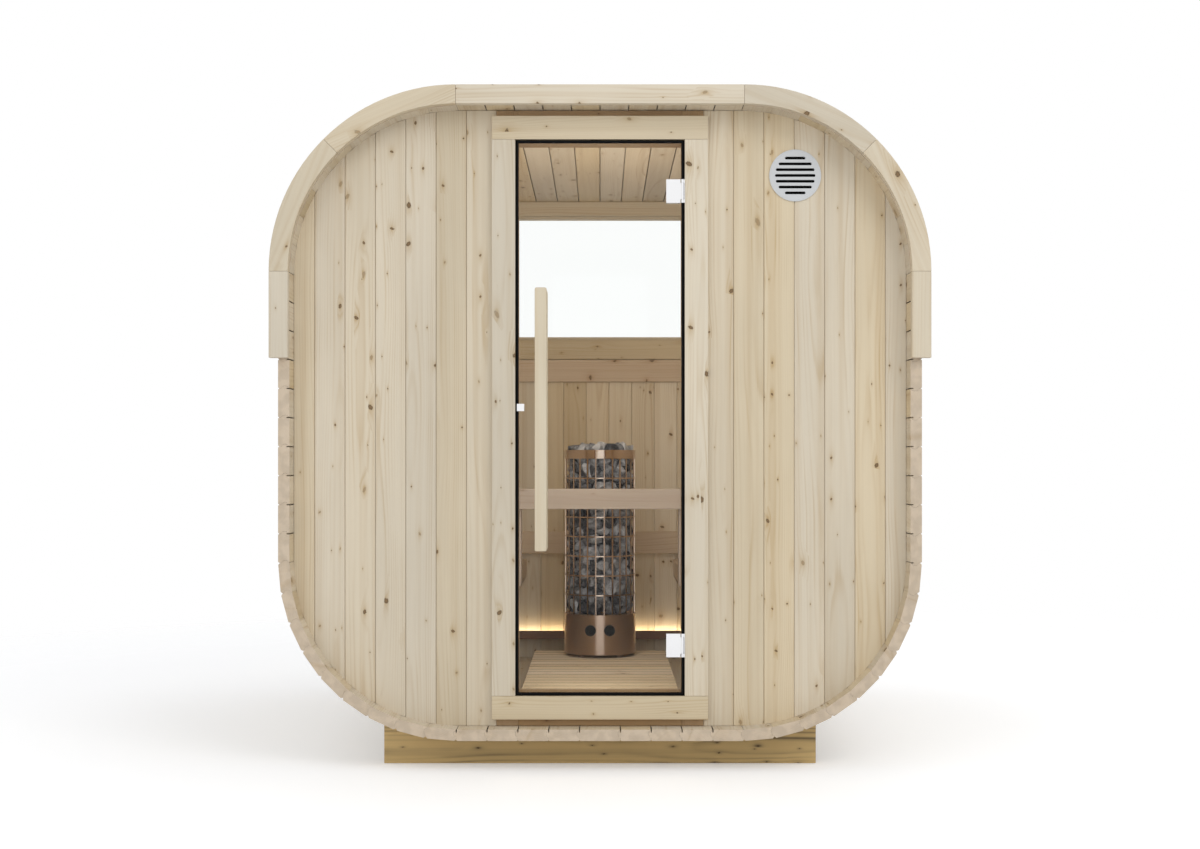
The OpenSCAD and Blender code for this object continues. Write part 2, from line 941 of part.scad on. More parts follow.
in_shell() cradles();
in_shell() floor_staves();
in_shell() ceiling_staves();
in_shell() side_staves(-1);  // side_staves_left
in_shell() side_staves(1);  // side_staves_right
in_shell() corner_staves(-1, shell_h - corner_r, 90);  // corner_staves_top_left
in_shell() corner_staves(1, shell_h - corner_r, 0);  // corner_staves_top_right
in_shell() corner_staves(-1, corner_r, 180);  // corner_staves_bottom_left
in_shell() corner_staves(1, corner_r, -90);  // corner_staves_bottom_right
in_shell() front_wall_left();
in_shell() front_wall_right();
in_shell() door_jamb_left();
in_shell() door_jamb_right();
in_shell() door_rails();
in_shell() door_casing();
in_shell() door_seal();
in_shell() rear_wall_left();
in_shell() rear_wall_right();
in_shell() rear_wall_below();
in_shell() window_frame();
in_shell() window_glass();
in_shell() rear_boards();
in_shell() light_rail();
in_shell() light_strip();
in_shell() floor_grate();
in_shell() bench_left();
in_shell() bench_right();
in_shell() bench_brackets();
in_shell() heater_guard();
in_shell() heater_base();
in_shell() heater_knobs();
in_shell() heater_cage();
in_shell() heater_stones();
in_shell() vent_grille();
in_shell() bands();
in_shell() roof_left();
in_shell() roof_top();
in_shell() roof_right();
in_shell() trim_left();
in_shell() trim_top();
in_shell() trim_right();
in_shell() hinge_leaves();
in_shell() hinge_plates();
in_shell() door_glass();
in_shell() door_handle();
in_shell() door_catch();
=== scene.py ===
"""Looks of the cube sauna: staves, boards, glass, benches, heater, roof and studio."""

from __future__ import annotations

import logging
import math
import random
from contextlib import contextmanager
from dataclasses import dataclass, field
from enum import Enum
from typing import Callable, Iterator, Sequence

import bmesh
import bpy
from mathutils import Euler, Matrix, Vector

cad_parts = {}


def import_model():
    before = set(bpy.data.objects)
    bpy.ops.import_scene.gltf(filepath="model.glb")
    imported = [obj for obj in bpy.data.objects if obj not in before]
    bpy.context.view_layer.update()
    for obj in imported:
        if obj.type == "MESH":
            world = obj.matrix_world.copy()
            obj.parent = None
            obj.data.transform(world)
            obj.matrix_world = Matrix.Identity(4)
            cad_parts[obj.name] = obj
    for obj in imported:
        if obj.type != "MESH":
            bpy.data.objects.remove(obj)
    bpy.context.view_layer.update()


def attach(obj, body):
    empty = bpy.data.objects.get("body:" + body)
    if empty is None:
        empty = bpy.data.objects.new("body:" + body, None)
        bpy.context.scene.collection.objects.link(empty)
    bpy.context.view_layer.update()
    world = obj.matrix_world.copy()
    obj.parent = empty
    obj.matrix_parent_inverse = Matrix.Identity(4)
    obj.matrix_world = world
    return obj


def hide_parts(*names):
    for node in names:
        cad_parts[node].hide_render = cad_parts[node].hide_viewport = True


Piece = bpy.types.Object
Socket = bpy.types.NodeSocket
Point = Sequence[float]
Colour = tuple[float, float, float]

log = logging.getLogger("sauna")

FIT = 0.0003
OVERCUT = 0.01
SMOOTH_ANGLE = math.radians(32)


class Axis(Enum):
    """The three directions of the cabin: across, from door to back, and up."""

    X = 0
    Y = 1
    Z = 2

    @property
    def vector(self) -> Vector:
        """The unit vector along the axis."""
        return Vector([1.0 if i == self.value else 0.0 for i in range(3)])


class Side(Enum):
    """The two sides of the cabin, seen from the door."""

    LEFT = -1
    RIGHT = 1

    @property
    def word(self) -> str:
        """The side's name in a piece's name."""
        return self.name.lower()


# ---- Hand tools ----------------------------------------------------------------


def only(*pieces: Piece) -> None:
    """Selects these pieces and nothing else, the first one active.

    Args:
        pieces: The pieces to select.
    """
    bpy.ops.object.select_all(action="DESELECT")
    for piece in pieces:
        piece.select_set(True)
    bpy.context.view_layer.objects.active = pieces[0]


@contextmanager
def editing(piece: Piece, kind: str = "FACE") -> Iterator[bmesh.types.BMesh]:
    """Opens a piece in edit mode with nothing selected.

    Args:
        piece: The piece to shape.
        kind: What is selected, VERT, EDGE or FACE.

    Yields:
        The edit mesh, for selecting by place.
    """
    only(piece)
    bpy.ops.object.mode_set(mode="EDIT")
    bpy.ops.mesh.select_mode(type=kind)
    bpy.ops.mesh.select_all(action="DESELECT")
    yield bmesh.from_edit_mesh(piece.data)
    bpy.ops.object.mode_set(mode="OBJECT")


def pick(piece: Piece, parts: Sequence, test: Callable[[Vector], bool]) -> int:
    """Selects the edges or faces whose middle passes a test.

    Args:
        piece: The piece in edit mode.
        parts: The edit mesh's edges or faces.
        test: Says yes or no for a middle point.

    Returns:
        How many were selected.
    """
    count = 0
    for part in parts:
        middle = sum((v.co for v in part.verts), Vector()) / len(part.verts)
        if test(middle):
            part.select_set(True)
            count += 1
    bmesh.update_edit_mesh(piece.data)
    return count


def settle(piece: Piece) -> Piece:
    """Puts the object's place, turn and scale into its mesh.

    Args:
        piece: The piece.

    Returns:
        The piece.
    """
    only(piece)
    bpy.ops.object.transform_apply(location=True, rotation=True, scale=True)
    return piece


def block(low: Point, high: Point, name: str = "block") -> Piece:
    """A block between two corners.

    Args:
        low: The corner with the smallest numbers.
        high: The corner across from it.
        name: Its name.

    Returns:
        The block.
    """
    low, high = Vector(low), Vector(high)
    bpy.ops.object.select_all(action="DESELECT")
    bpy.ops.mesh.primitive_cube_add(size=1, location=(low + high) / 2)
    piece = bpy.context.object
    piece.scale = high - low
    piece.name = name
    return settle(piece)


def rod(centre: Point, axis: Axis, radius: float, length: float, sides: int = 32) -> Piece:
    """A round rod about its centre, along one of the cabin's directions.

    Args:
        centre: Its middle.
        axis: The direction it runs in.
        radius: Its radius.
        length: Its length.
        sides: How many flats make it round.

    Returns:
        The rod.
    """
    turn = {Axis.X: (0, math.pi / 2, 0), Axis.Y: (math.pi / 2, 0, 0), Axis.Z: (0, 0, 0)}
    bpy.ops.object.select_all(action="DESELECT")
    bpy.ops.mesh.primitive_cylinder_add(
        vertices=sides, radius=radius, depth=length, location=centre, rotation=turn[axis]
    )
    return settle(bpy.context.object)


def copied(piece: Piece, matrix: Matrix) -> Piece:
    """A copy with its own mesh, moved by a matrix.

    Args:
        piece: The pattern.
        matrix: The move.

    Returns:
        The copy.
    """
    new = piece.copy()
    new.data = piece.data.copy()
    new.data.transform(matrix)
    if matrix.determinant() < 0:
        new.data.flip_normals()
    bpy.context.scene.collection.objects.link(new)
    return new


def discard(*pieces: Piece) -> None:
    """Removes pieces that were only tools or patterns."""
    for piece in pieces:
        bpy.data.objects.remove(piece, do_unlink=True)


def joined(pieces: Sequence[Piece], name: str) -> Piece:
    """Joins pieces into one mesh under a new name.

    Args:
        pieces: The pieces, used up by the join.
        name: The new name.

    Returns:
        The joined piece.
    """
    only(*pieces)
    if len(pieces) > 1:
        bpy.ops.object.join()
    piece = bpy.context.view_layer.objects.active
    piece.name = name
    piece.data.name = name
    return piece


def cut(piece: Piece, tool: Piece, operation: str = "DIFFERENCE") -> Piece:
    """Cuts, keeps or adds the tool's shape, and removes the tool.

    Args:
        piece: The piece.
        tool: The shape to cut or add.
        operation: DIFFERENCE, INTERSECT or UNION.

    Returns:
        The piece.
    """
    only(piece)
    modifier = piece.modifiers.new("cut", "BOOLEAN")
    modifier.operation = operation
    modifier.solver = "EXACT"
    modifier.object = tool
    bpy.ops.object.modifier_apply(modifier=modifier.name)
    discard(tool)
    return piece


def soften(piece: Piece, width: float, segments: int = 2, angle: float = 34) -> Piece:
    """Rounds a piece's sharp edges and shades them smooth, its faces staying flat.

    Args:
        piece: The piece.
        width: How far the rounding reaches.
        segments: How many steps it has.
        angle: The least angle of a sharp edge, in degrees.

    Returns:
        The piece.
    """
    only(piece)
    bpy.ops.object.shade_smooth_by_angle(angle=SMOOTH_ANGLE)
    modifier = piece.modifiers.new("edge", "BEVEL")
    modifier.width = width
    modifier.segments = segments
    modifier.limit_method = "ANGLE"
    modifier.angle_limit = math.radians(angle)
    modifier.harden_normals = True
    bpy.ops.object.modifier_apply(modifier=modifier.name)
    return piece


def flat_edged(piece: Piece, width: float) -> Piece:
    """Grinds a flat bevel on a pane's edges.

    Args:
        piece: The pane.
        width: The bevel's width.

    Returns:
        The pane.
    """
    soften(piece, width, 1)
    bpy.ops.object.shade_flat()
    return piece


def smooth(piece: Piece) -> Piece:
    """Shades a piece smooth except at its sharp edges.

    Args:
        piece: The piece.

    Returns:
        The piece.
    """
    only(piece)
    bpy.ops.object.shade_smooth_by_angle(angle=SMOOTH_ANGLE)
    return piece


@dataclass(frozen=True)
class Go:
    """A straight leg of a sweep."""

    step: tuple[float, float, float]


@dataclass(frozen=True)
class Turn:
    """A round leg of a sweep, about an axis along Y."""

    centre: tuple[float, float, float]
    angle: float
    steps: int = 20


def sweep(low: Point, high: Point, legs: Sequence[Go | Turn], name: str) -> Piece:
    """Draws a flat rectangle along straight and round legs into a solid.

    Args:
        low: The start rectangle's low corner.
        high: Its high corner, at the same height.
        legs: The legs, in order.
        name: The piece's name.

    Returns:
        The closed solid, with its normals outwards.
    """
    low, high = Vector(low), Vector(high)
    bpy.ops.object.select_all(action="DESELECT")
    bpy.ops.mesh.primitive_plane_add(size=1, location=(low + high) / 2)
    piece = bpy.context.object
    piece.scale = (high.x - low.x, high.y - low.y, 1)
    settle(piece)
    with editing(piece):
        bpy.ops.mesh.select_all(action="SELECT")
        for leg in legs:
            if isinstance(leg, Go):
                bpy.ops.mesh.extrude_region_move(TRANSFORM_OT_translate={"value": leg.step})
            else:
                bpy.ops.mesh.spin(
                    steps=leg.steps, angle=-leg.angle, center=leg.centre, axis=(0, 1, 0)
                )
        bpy.ops.mesh.select_all(action="SELECT")
        bpy.ops.mesh.remove_doubles(threshold=1e-6)
        bpy.ops.mesh.normals_make_consistent(inside=False)
    piece.name = name
    return piece


# ---- Boards and their grain ----------------------------------------------------


def loose_parts(mesh: bpy.types.Mesh) -> list[list[int]]:
    """The vertex numbers of each loose part of a mesh.

    Args:
        mesh: The mesh.

    Returns:
        One list of vertex numbers for each part.
    """
    owner = list(range(len(mesh.vertices)))

    def root(i: int) -> int:
        """The number that stands for i's part."""
        while owner[i] != i:
            owner[i] = owner[owner[i]]
            i = owner[i]
        return i

    for edge in mesh.edges:
        a, b = (root(i) for i in edge.vertices)
        if a != b:
            owner[a] = b
    parts: dict[int, list[int]] = {}
    for i in range(len(owner)):
        parts.setdefault(root(i), []).append(i)
    return list(parts.values())


def mark_grain(
    piece: Piece,
    seed: int,
    along: Callable[[Vector], Vector] | None = None,
    tilt: float = 0.010,
    depth: tuple[float, float] = (0.035, 0.11),
) -> Piece:
    """Gives each loose board its own growth centre, grain direction and tone.

    Args:
        piece: A mesh of loose boards.
        seed: Keeps the choice the same from run to run.
        along: The grain's direction at a board's middle; the longest side if left out.
        tilt: How much the grain runs out of the board.
        depth: How far the tree's heart may lie from the board's middle.

    Returns:
        The piece.
    """
    mesh = piece.data
    dice = random.Random(seed)
    for name, kind in (("heart", "FLOAT_VECTOR"), ("grain", "FLOAT_VECTOR"), ("tone", "FLOAT")):
        mesh.attributes.new(name, kind, "POINT")
    heart, grain, tone = (mesh.attributes[name] for name in ("heart", "grain", "tone"))
    for part in loose_parts(mesh):
        points = [mesh.vertices[i].co for i in part]
        low = Vector([min(p[k] for p in points) for k in range(3)])
        high = Vector([max(p[k] for p in points) for k in range(3)])
        middle, span = (low + high) / 2, high - low
        order = sorted(range(3), key=lambda k: span[k])
        way = Axis(order[2]).vector if along is None else along(middle)
        thin = Axis(order[0]).vector
        thin = (thin - way * thin.dot(way)).normalized()
        wide = way.cross(thin)
        away = dice.uniform(*depth) * dice.choice([-1, 1])
        lean = dice.uniform(-0.8, 0.8)
        centre = middle + thin * away * math.cos(lean) + wide * away * math.sin(lean)
        centre += way * dice.uniform(-3, 3)
        way = (way + thin * dice.uniform(-tilt, tilt) + wide * dice.uniform(-tilt, tilt)).normalized()
        shade = dice.random()
        for i in part:
            heart.data[i].vector = centre
            grain.data[i].vector = way
            tone.data[i].value = shade
    return piece


# ---- Finishes ------------------------------------------------------------------


def mark_seams(piece: Piece, axis: Axis) -> None:
    """Marks the faces that look along an axis, between pieces, for the painted shade that stands in for the little
    light that gets in there.

    Args:
        piece: The piece.
        axis: The direction across the joints.
    """
    seam = piece.data.attributes.new("seam", "FLOAT", "FACE")
    for face in piece.data.polygons:
        seam.data[face.index].value = float(abs(face.normal[axis.value]) > 0.75)


class Recipe:
    """A node material being put together."""

    def __init__(self, name: str) -> None:
        """Starts a material with one Principled shader.

        Args:
            name: The material's name.
        """
        self.material = bpy.data.materials.new(name)
        self.material.use_nodes = True
        self.tree = self.material.node_tree
        self.tree.nodes.clear()
        self.shader = self.node("ShaderNodeBsdfPrincipled")
        self.output = self.node("ShaderNodeOutputMaterial")
        self.link(self.shader.outputs[0], self.output.inputs["Surface"])

    def node(self, kind: str, **settings: object) -> bpy.types.Node:
        """Adds a node and sets its properties.

        Args:
            kind: The node's type.
            settings: Its properties.

        Returns:
            The node.
        """
        node = self.tree.nodes.new(kind)
        for key, value in settings.items():
            setattr(node, key, value)
        return node

    def link(self, source: Socket, target: Socket) -> None:
        """Joins two sockets."""
        self.tree.links.new(source, target)

    def feed(self, socket: Socket, value: object) -> None:
        """Links a socket, or sets it if the value is plain."""
        if isinstance(value, bpy.types.NodeSocket):
            self.link(value, socket)
        elif isinstance(value, (tuple, list)) and socket.type == "RGBA":
            socket.default_value = (*value, 1.0)
        else:
            socket.default_value = value

    def math(self, operation: str, *values: object, clamp: bool = False) -> Socket:
        """A Math node's result.

        Args:
            operation: What it does.
            values: Its inputs in order.
            clamp: Whether the result stays between 0 and 1.

        Returns:
            The result.
        """
        node = self.node("ShaderNodeMath", operation=operation, use_clamp=clamp)
        for socket, value in zip(node.inputs, values):
            self.feed(socket, value)
        return node.outputs[0]

    def vector(self, operation: str, *values: object, scale: object = None) -> Socket:
        """A Vector Math node's result, a number for lengths and dot products.

        Args:
            operation: What it does.
            values: Its inputs in order.
            scale: The factor, for SCALE.

        Returns:
            The result.
        """
        node = self.node("ShaderNodeVectorMath", operation=operation)
        for socket, value in zip(node.inputs, values):
            self.feed(socket, value)
        if scale is not None:
            self.feed(node.inputs["Scale"], scale)
        number = operation in ("DOT_PRODUCT", "LENGTH", "DISTANCE")
        return node.outputs["Value" if number else "Vector"]

    def join(self, x: object, y: object, z: object = 0.0) -> Socket:
        """A vector from three numbers.

        Args:
            x: The first number.
            y: The second.
            z: The third.

        Returns:
            The vector.
        """
        node = self.node("ShaderNodeCombineXYZ")
        for socket, value in zip(node.inputs, (x, y, z)):
            self.feed(socket, value)
        return node.outputs[0]

    def split(self, vector: Socket) -> tuple[Socket, Socket, Socket]:
        """The three numbers of a vector.

        Args:
            vector: The vector.

        Returns:
            Its three numbers.
        """
        node = self.node("ShaderNodeSeparateXYZ")
        self.link(vector, node.inputs[0])
        return node.outputs[0], node.outputs[1], node.outputs[2]

    def noise(self, vector: Socket, scale: float, detail: float = 2, rough: float = 0.5) -> bpy.types.Node:
        """A Noise node on a vector.

        Args:
            vector: Where it is read.
            scale: How fine it is.
            detail: How many finer layers it has.
            rough: How strong those are.

        Returns:
            The node.
        """
        node = self.node("ShaderNodeTexNoise")
        self.link(vector, node.inputs["Vector"])
        node.inputs["Scale"].default_value = scale
        node.inputs["Detail"].default_value = detail
        node.inputs["Roughness"].default_value = rough
        return node

    def mix(self, factor: object, a: object, b: object, blend: str = "MIX") -> Socket:
        """A mix of two colours.

        Args:
            factor: How much of the second.
            a: The first colour.
            b: The second colour.
            blend: How they are blended.

        Returns:
            The colour.
        """
        node = self.node("ShaderNodeMix", data_type="RGBA", blend_type=blend)
        self.feed(node.inputs[0], factor)
        self.feed(node.inputs[6], a)
        self.feed(node.inputs[7], b)
        return node.outputs[2]

    def ramp(self, value: Socket, *stops: tuple[float, float]) -> Socket:
        """A smooth curve of a number through stops of place and height.

        Args:
            value: The number.
            stops: Places with their heights.

        Returns:
            The height.
        """
        node = self.node("ShaderNodeValToRGB")
        node.color_ramp.interpolation = "EASE"
        while len(node.color_ramp.elements) < len(stops):
            node.color_ramp.elements.new(0.5)
        for element, (place, height) in zip(node.color_ramp.elements, stops):
            element.position = place
            element.color = (height, height, height, 1)
        self.link(value, node.inputs[0])
        return self.split(node.outputs[0])[0]

    def reach(self, value: Socket, low: float, high: float, start: float = 0.0, end: float = 1.0) -> Socket:
        """A number mapped from one range to another, and held there.

        Args:
            value: The number.
            low: Where the first range begins.
            high: Where it ends.
            start: What low becomes.
            end: What high becomes.

        Returns:
            The mapped number.
        """
        node = self.node("ShaderNodeMapRange", interpolation_type="SMOOTHSTEP")
        for socket, number in zip(node.inputs, (value, low, high, start, end)):
            self.feed(socket, number)
        return node.outputs[0]

    def place(self) -> Socket:
        """The piece's own coordinates."""
        return self.node("ShaderNodeTexCoord").outputs["Object"]

    def mark(self, name: str, number: bool = False) -> Socket:
        """A named attribute of the mesh."""
        node = self.node("ShaderNodeAttribute", attribute_name=name)
        return node.outputs["Fac" if number else "Vector"]

    def bump(self, height: Socket, distance: float, strength: float = 1.0) -> None:
        """Feeds a height into the shader's normal.

        Args:
            height: The height.
            distance: The height of 1, in metres.
            strength: How much of it is used.
        """
        node = self.node("ShaderNodeBump")
        node.inputs["Strength"].default_value = strength
        node.inputs["Distance"].default_value = distance
        self.link(height, node.inputs["Height"])
        self.link(node.outputs[0], self.shader.inputs["Normal"])

    def set(self, **values: object) -> None:
        """Sets or links the shader's sockets, named with underscores."""
        for key, value in values.items():
            self.feed(self.shader.inputs[key.replace("_", " ").title().replace("Ior", "IOR")], value)


class Finish:
    """Something a piece is made of or coated with."""

    made: dict[object, bpy.types.Material] = {}

    def recipe(self) -> Recipe:
        """The finish's node material."""
        raise NotImplementedError

    def dress(self, *pieces: Piece) -> None:
        """Gives pieces this finish as their only material."""
        if self not in Finish.made:
            Finish.made[self] = self.recipe().material
        for piece in pieces:
            piece.data.materials.clear()
            piece.data.materials.append(Finish.made[self])


@dataclass(frozen=True)
class Timber(Finish):
    """Planed wood with growth rings, knots and fibres, cut from a round tree."""

    name: str
    early: Colour
    late: Colour
    end: Colour
    warm: Colour = (0.92, 0.85, 0.70)
    knot: Colour = (0.20, 0.125, 0.060)
    pin: Colour = (0.055, 0.030, 0.014)
    ring: float = 0.0058
    contrast: float = 0.65
    knots: float = 0.30
    knot_size: float = 0.0056
    fibre: float = 0.045
    tone: float = 0.14
    rough: float = 0.62

    def recipe(self) -> Recipe:
        """Rings about the tree's heart, bent round knots that grow out of it.

        Returns:
            The recipe.
        """
        r = Recipe(self.name)
        grain, tone = r.mark("grain"), r.mark("tone", number=True)
        offset = r.vector("SUBTRACT", r.place(), r.mark("heart"))
        run = r.vector("DOT_PRODUCT", offset, grain)
        along = r.vector("SCALE", grain, scale=run)
        across = r.vector("SUBTRACT", offset, along)
        drawn = r.vector("ADD", across, r.vector("SCALE", along, scale=0.22))
        sway = r.vector("SUBTRACT", r.noise(drawn, 6.0, 1.5, 0.4).outputs["Color"], (0.5, 0.5, 0.5))
        bent = r.vector("ADD", across, r.vector("SCALE", sway, scale=0.034))
        radius = r.vector("LENGTH", bent)
        cover, halo, dark, rim, bulge = self.knots_of(r, grain, across, run, radius, tone)
        long = r.vector("ADD", across, r.vector("SCALE", along, scale=0.010))
        fine = r.noise(long, 380, 3, 0.6).outputs["Fac"]
        years = r.math("DIVIDE", r.math("ADD", radius, bulge), self.ring)
        years = r.math("ADD", years, r.math("MULTIPLY", fine, 0.30))
        late = r.ramp(r.math("FRACT", years), (0.0, 0.35), (0.16, 0.05), (0.45, 0.10), (0.86, 1.0), (1.0, 0.35))
        which = r.node("ShaderNodeTexWhiteNoise", noise_dimensions="1D")
        r.link(r.math("FLOOR", years), which.inputs["W"])
        strong = r.math("MULTIPLY_ADD", which.outputs["Value"], 0.8, 0.2)
        patch = r.reach(r.noise(drawn, 11.0, 2).outputs["Fac"], 0.32, 0.72, 0.12, 1.0)
        late = r.math("MULTIPLY", r.math("MULTIPLY", late, strong), r.math("MULTIPLY", patch, self.contrast))
        stripe = r.reach(r.noise(long, 34.0, 2, 0.5).outputs["Fac"], 0.42, 0.75, 0.0, 0.30)
        late = r.math("ADD", r.math("ADD", late, stripe), halo, clamp=True)
        wood = r.mix(late, self.early, self.late)
        wood = r.mix(r.math("MULTIPLY", tone, tone), wood, r.mix(1.0, wood, self.warm, blend="MULTIPLY"))
        cloud = r.noise(drawn, 4.0, 3).outputs["Fac"]
        shade = r.math(
            "MULTIPLY_ADD", r.math("FRACT", r.math("MULTIPLY", tone, 7.3)), self.tone, 1 - self.tone / 2
        )
        shade = r.math("ADD", shade, r.math("MULTIPLY_ADD", fine, 2 * self.fibre, -self.fibre))
        shade = r.math("ADD", shade, r.reach(cloud, 0.3, 0.7, -0.05, 0.05))
        wood = r.mix(1.0, wood, r.join(shade, shade, shade), blend="MULTIPLY")
        facing = r.vector("DOT_PRODUCT", r.node("ShaderNodeNewGeometry").outputs["Normal"], grain)
        sawn = r.reach(r.math("ABSOLUTE", facing), 0.6, 0.9)
        butt = r.mix(late, self.end, r.mix(0.45, self.end, self.late))
        stain = r.reach(r.noise(offset, 30.0, 2, 0.5).outputs["Fac"], 0.36, 0.64, 0.90, 1.03)
        wood = r.mix(sawn, wood, r.mix(1.0, butt, r.join(stain, stain, stain), blend="MULTIPLY"))
        # Painted shade: the marked joint faces are darkened towards the pin-knot brown, standing in for the shade in
        # the gaps between pieces.
        wood = r.mix(r.mark("seam", number=True), wood, r.mix(0.78, wood, self.pin))
        core = r.mix(r.math("MAXIMUM", rim, dark), self.knot, self.pin)
        cover = r.math("MULTIPLY", cover, r.math("SUBTRACT", 1.0, sawn))
        r.set(base_color=r.mix(cover, wood, core), specular_ior_level=0.3)
        r.set(roughness=r.math("MULTIPLY_ADD", late, -0.08, self.rough))
        r.bump(r.math("ADD", r.math("MULTIPLY", fine, 0.7), r.math("MULTIPLY", late, 0.3)), 0.0004, 0.4)
        return r

    def knots_of(
        self, r: Recipe, grain: Socket, across: Socket, run: Socket, radius: Socket, tone: Socket
    ) -> tuple[Socket, Socket, Socket, Socket, Socket]:
        """The branches that cross the board.

        Args:
            r: The recipe.
            grain: The grain's direction.
            across: The place off the heart line.
            run: The place along the heart line.
            radius: The distance from the heart line.
            tone: The board's own number.

        Returns:
            The knots' cover, the tan wood round them, how dark they are, their rims, and how far they push the rings.
        """
        spacing, spread = 7.5, 2.6
        second = r.vector("NORMALIZE", r.vector("CROSS_PRODUCT", grain, (0.35, 0.80, 0.49)))
        first = r.vector("CROSS_PRODUCT", grain, second)
        angle = r.math(
            "ARCTAN2", r.vector("DOT_PRODUCT", across, first), r.vector("DOT_PRODUCT", across, second)
        )
        x = r.math("ADD", r.math("MULTIPLY", run, spacing), r.math("MULTIPLY", tone, 57.0))
        y = r.math("MULTIPLY", angle, spread)
        cells = r.node("ShaderNodeTexVoronoi", voronoi_dimensions="2D")
        cells.inputs["Scale"].default_value = 1.0
        cells.inputs["Randomness"].default_value = 0.92
        r.link(r.join(x, y), cells.inputs["Vector"])
        px, py, _ = r.split(cells.outputs["Position"])
        chance, scale, kind = r.split(cells.outputs["Color"])
        dx = r.math("DIVIDE", r.math("SUBTRACT", x, px), spacing)
        dy = r.math("MULTIPLY", r.math("DIVIDE", r.math("SUBTRACT", y, py), spread), radius)
        rough = r.math("MULTIPLY_ADD", r.noise(r.join(x, y, scale), 26.0, 1).outputs["Fac"], 1.1, 0.45)
        skew = r.math("MULTIPLY", dx, r.math("MULTIPLY_ADD", kind, 0.9, -0.45))
        oval = r.math("DIVIDE", dx, r.math("MULTIPLY_ADD", kind, 0.9, 1.05))
        far = r.math("MULTIPLY", r.vector("LENGTH", r.join(oval, r.math("ADD", dy, skew))), rough)
        wide = r.vector("LENGTH", r.join(r.math("MULTIPLY", dx, 0.36), dy))
        size = r.math("POWER", scale, 3.6)
        width = r.math("MULTIPLY_ADD", size, self.knot_size, 0.0013)
        here = r.math("LESS_THAN", chance, self.knots)
        ratio = r.math("DIVIDE", far, width)
        pale = r.math("MULTIPLY", r.math("GREATER_THAN", kind, 0.62), 0.55)
        cover = r.math(
            "MULTIPLY",
            r.reach(ratio, 0.8, 1.15, 0.95, 0.0),
            r.math("SUBTRACT", here, r.math("MULTIPLY", pale, here)),
        )
        rim = r.math("MULTIPLY", r.reach(ratio, 0.5, 0.85, 0.0, 0.85), here)
        dark = r.reach(size, 0.02, 0.30, 0.9, 0.0)
        reach = r.math("DIVIDE", wide, width)
        halo = r.math(
            "MULTIPLY", r.math("MULTIPLY", r.math("EXPONENT", r.math("MULTIPLY", reach, -0.75)), here), 1.1
        )
        push = r.math("MULTIPLY", r.math("EXPONENT", r.math("MULTIPLY", reach, -0.40)), here)
        return cover, halo, dark, rim, r.math("MULTIPLY", push, r.math("MULTIPLY", width, 2.4))


@dataclass(frozen=True)
class Steel(Finish):
    """Bare metal, plain or brushed along one direction."""

    name: str
    colour: Colour
    rough: float
    brushed: tuple[Axis, ...] = ()
    lines: float = 900.0
    depth: float = 0.06
    drawn: float = 0.0

    def recipe(self) -> Recipe:
        """A metal whose roughness follows its brush marks.

        Returns:
            The recipe.
        """
        r = Recipe(self.name)
        stretch = [self.lines] * 3
        for axis in self.brushed:
            stretch[axis.value] = self.lines * 0.02
        marks = r.noise(r.vector("MULTIPLY", r.place(), tuple(stretch)), 1.0, 3, 0.6).outputs["Fac"]
        smudge = r.noise(r.place(), 14.0, 3).outputs["Fac"]
        level = r.math("ADD", r.math("MULTIPLY_ADD", marks, self.depth * 2, self.rough - self.depth),
                       r.math("MULTIPLY_ADD", smudge, 0.06, -0.03))
        shade = r.math("MULTIPLY_ADD", marks, 0.12, 0.94)
        r.set(base_color=r.mix(1.0, self.colour, r.join(shade, shade, shade), blend="MULTIPLY"))
        r.set(metallic=1.0, roughness=level)
        r.bump(marks, 0.00002, 0.25)
        if self.drawn:
            r.set(anisotropic=self.drawn, tangent=r.join(0.0, 0.0, 1.0))
        return r


@dataclass(frozen=True)
class Glass(Finish):
    """Clear toughened glass with a trace of green in its edges."""

    name: str
    tint: Colour = (0.985, 0.995, 0.99)

    def recipe(self) -> Recipe:
        """A clear pane that light passes straight through.

        Returns:
            The recipe.
        """
        r = Recipe(self.name)
        haze = r.noise(r.place(), 3.0, 2).outputs["Fac"]
        r.set(base_color=self.tint, transmission_weight=1.0, roughness=r.math("MULTIPLY", haze, 0.004))
        r.set(ior=1.2)
        clear = r.node("ShaderNodeBsdfTransparent")
        clear.inputs["Color"].default_value = (*self.tint, 1)
        blend = r.node("ShaderNodeMixShader")
        ray = r.node("ShaderNodeLightPath")
        passing = r.math("MAXIMUM", ray.outputs["Is Shadow Ray"], ray.outputs["Is Diffuse Ray"])
        r.link(passing, blend.inputs[0])
        r.link(r.shader.outputs[0], blend.inputs[1])
        r.link(clear.outputs[0], blend.inputs[2])
        r.link(blend.outputs[0], r.output.inputs["Surface"])
        return r


@dataclass(frozen=True)
class Coat(Finish):
    """Plastic, rubber or paint with a fine surface."""

    name: str
    colour: Colour
    rough: float = 0.5
    shine: float = 0.5
    grain: float = 1200.0
    depth: float = 0.00004

    def recipe(self) -> Recipe:
        """A near even colour over a fine moulded grain.

        Returns:
            The recipe.
        """
        r = Recipe(self.name)
        fine = r.noise(r.place(), self.grain, 3, 0.6).outputs["Fac"]
        broad = r.noise(r.place(), 9.0, 2).outputs["Fac"]
        shade = r.math("ADD", r.math("MULTIPLY_ADD", fine, 0.10, 0.90), r.math("MULTIPLY", broad, 0.06))
        r.set(base_color=r.mix(1.0, self.colour, r.join(shade, shade, shade), blend="MULTIPLY"))
        r.set(roughness=r.math("MULTIPLY_ADD", broad, 0.10, self.rough - 0.05), specular_ior_level=self.shine)
        r.bump(fine, self.depth, 0.6)
        return r


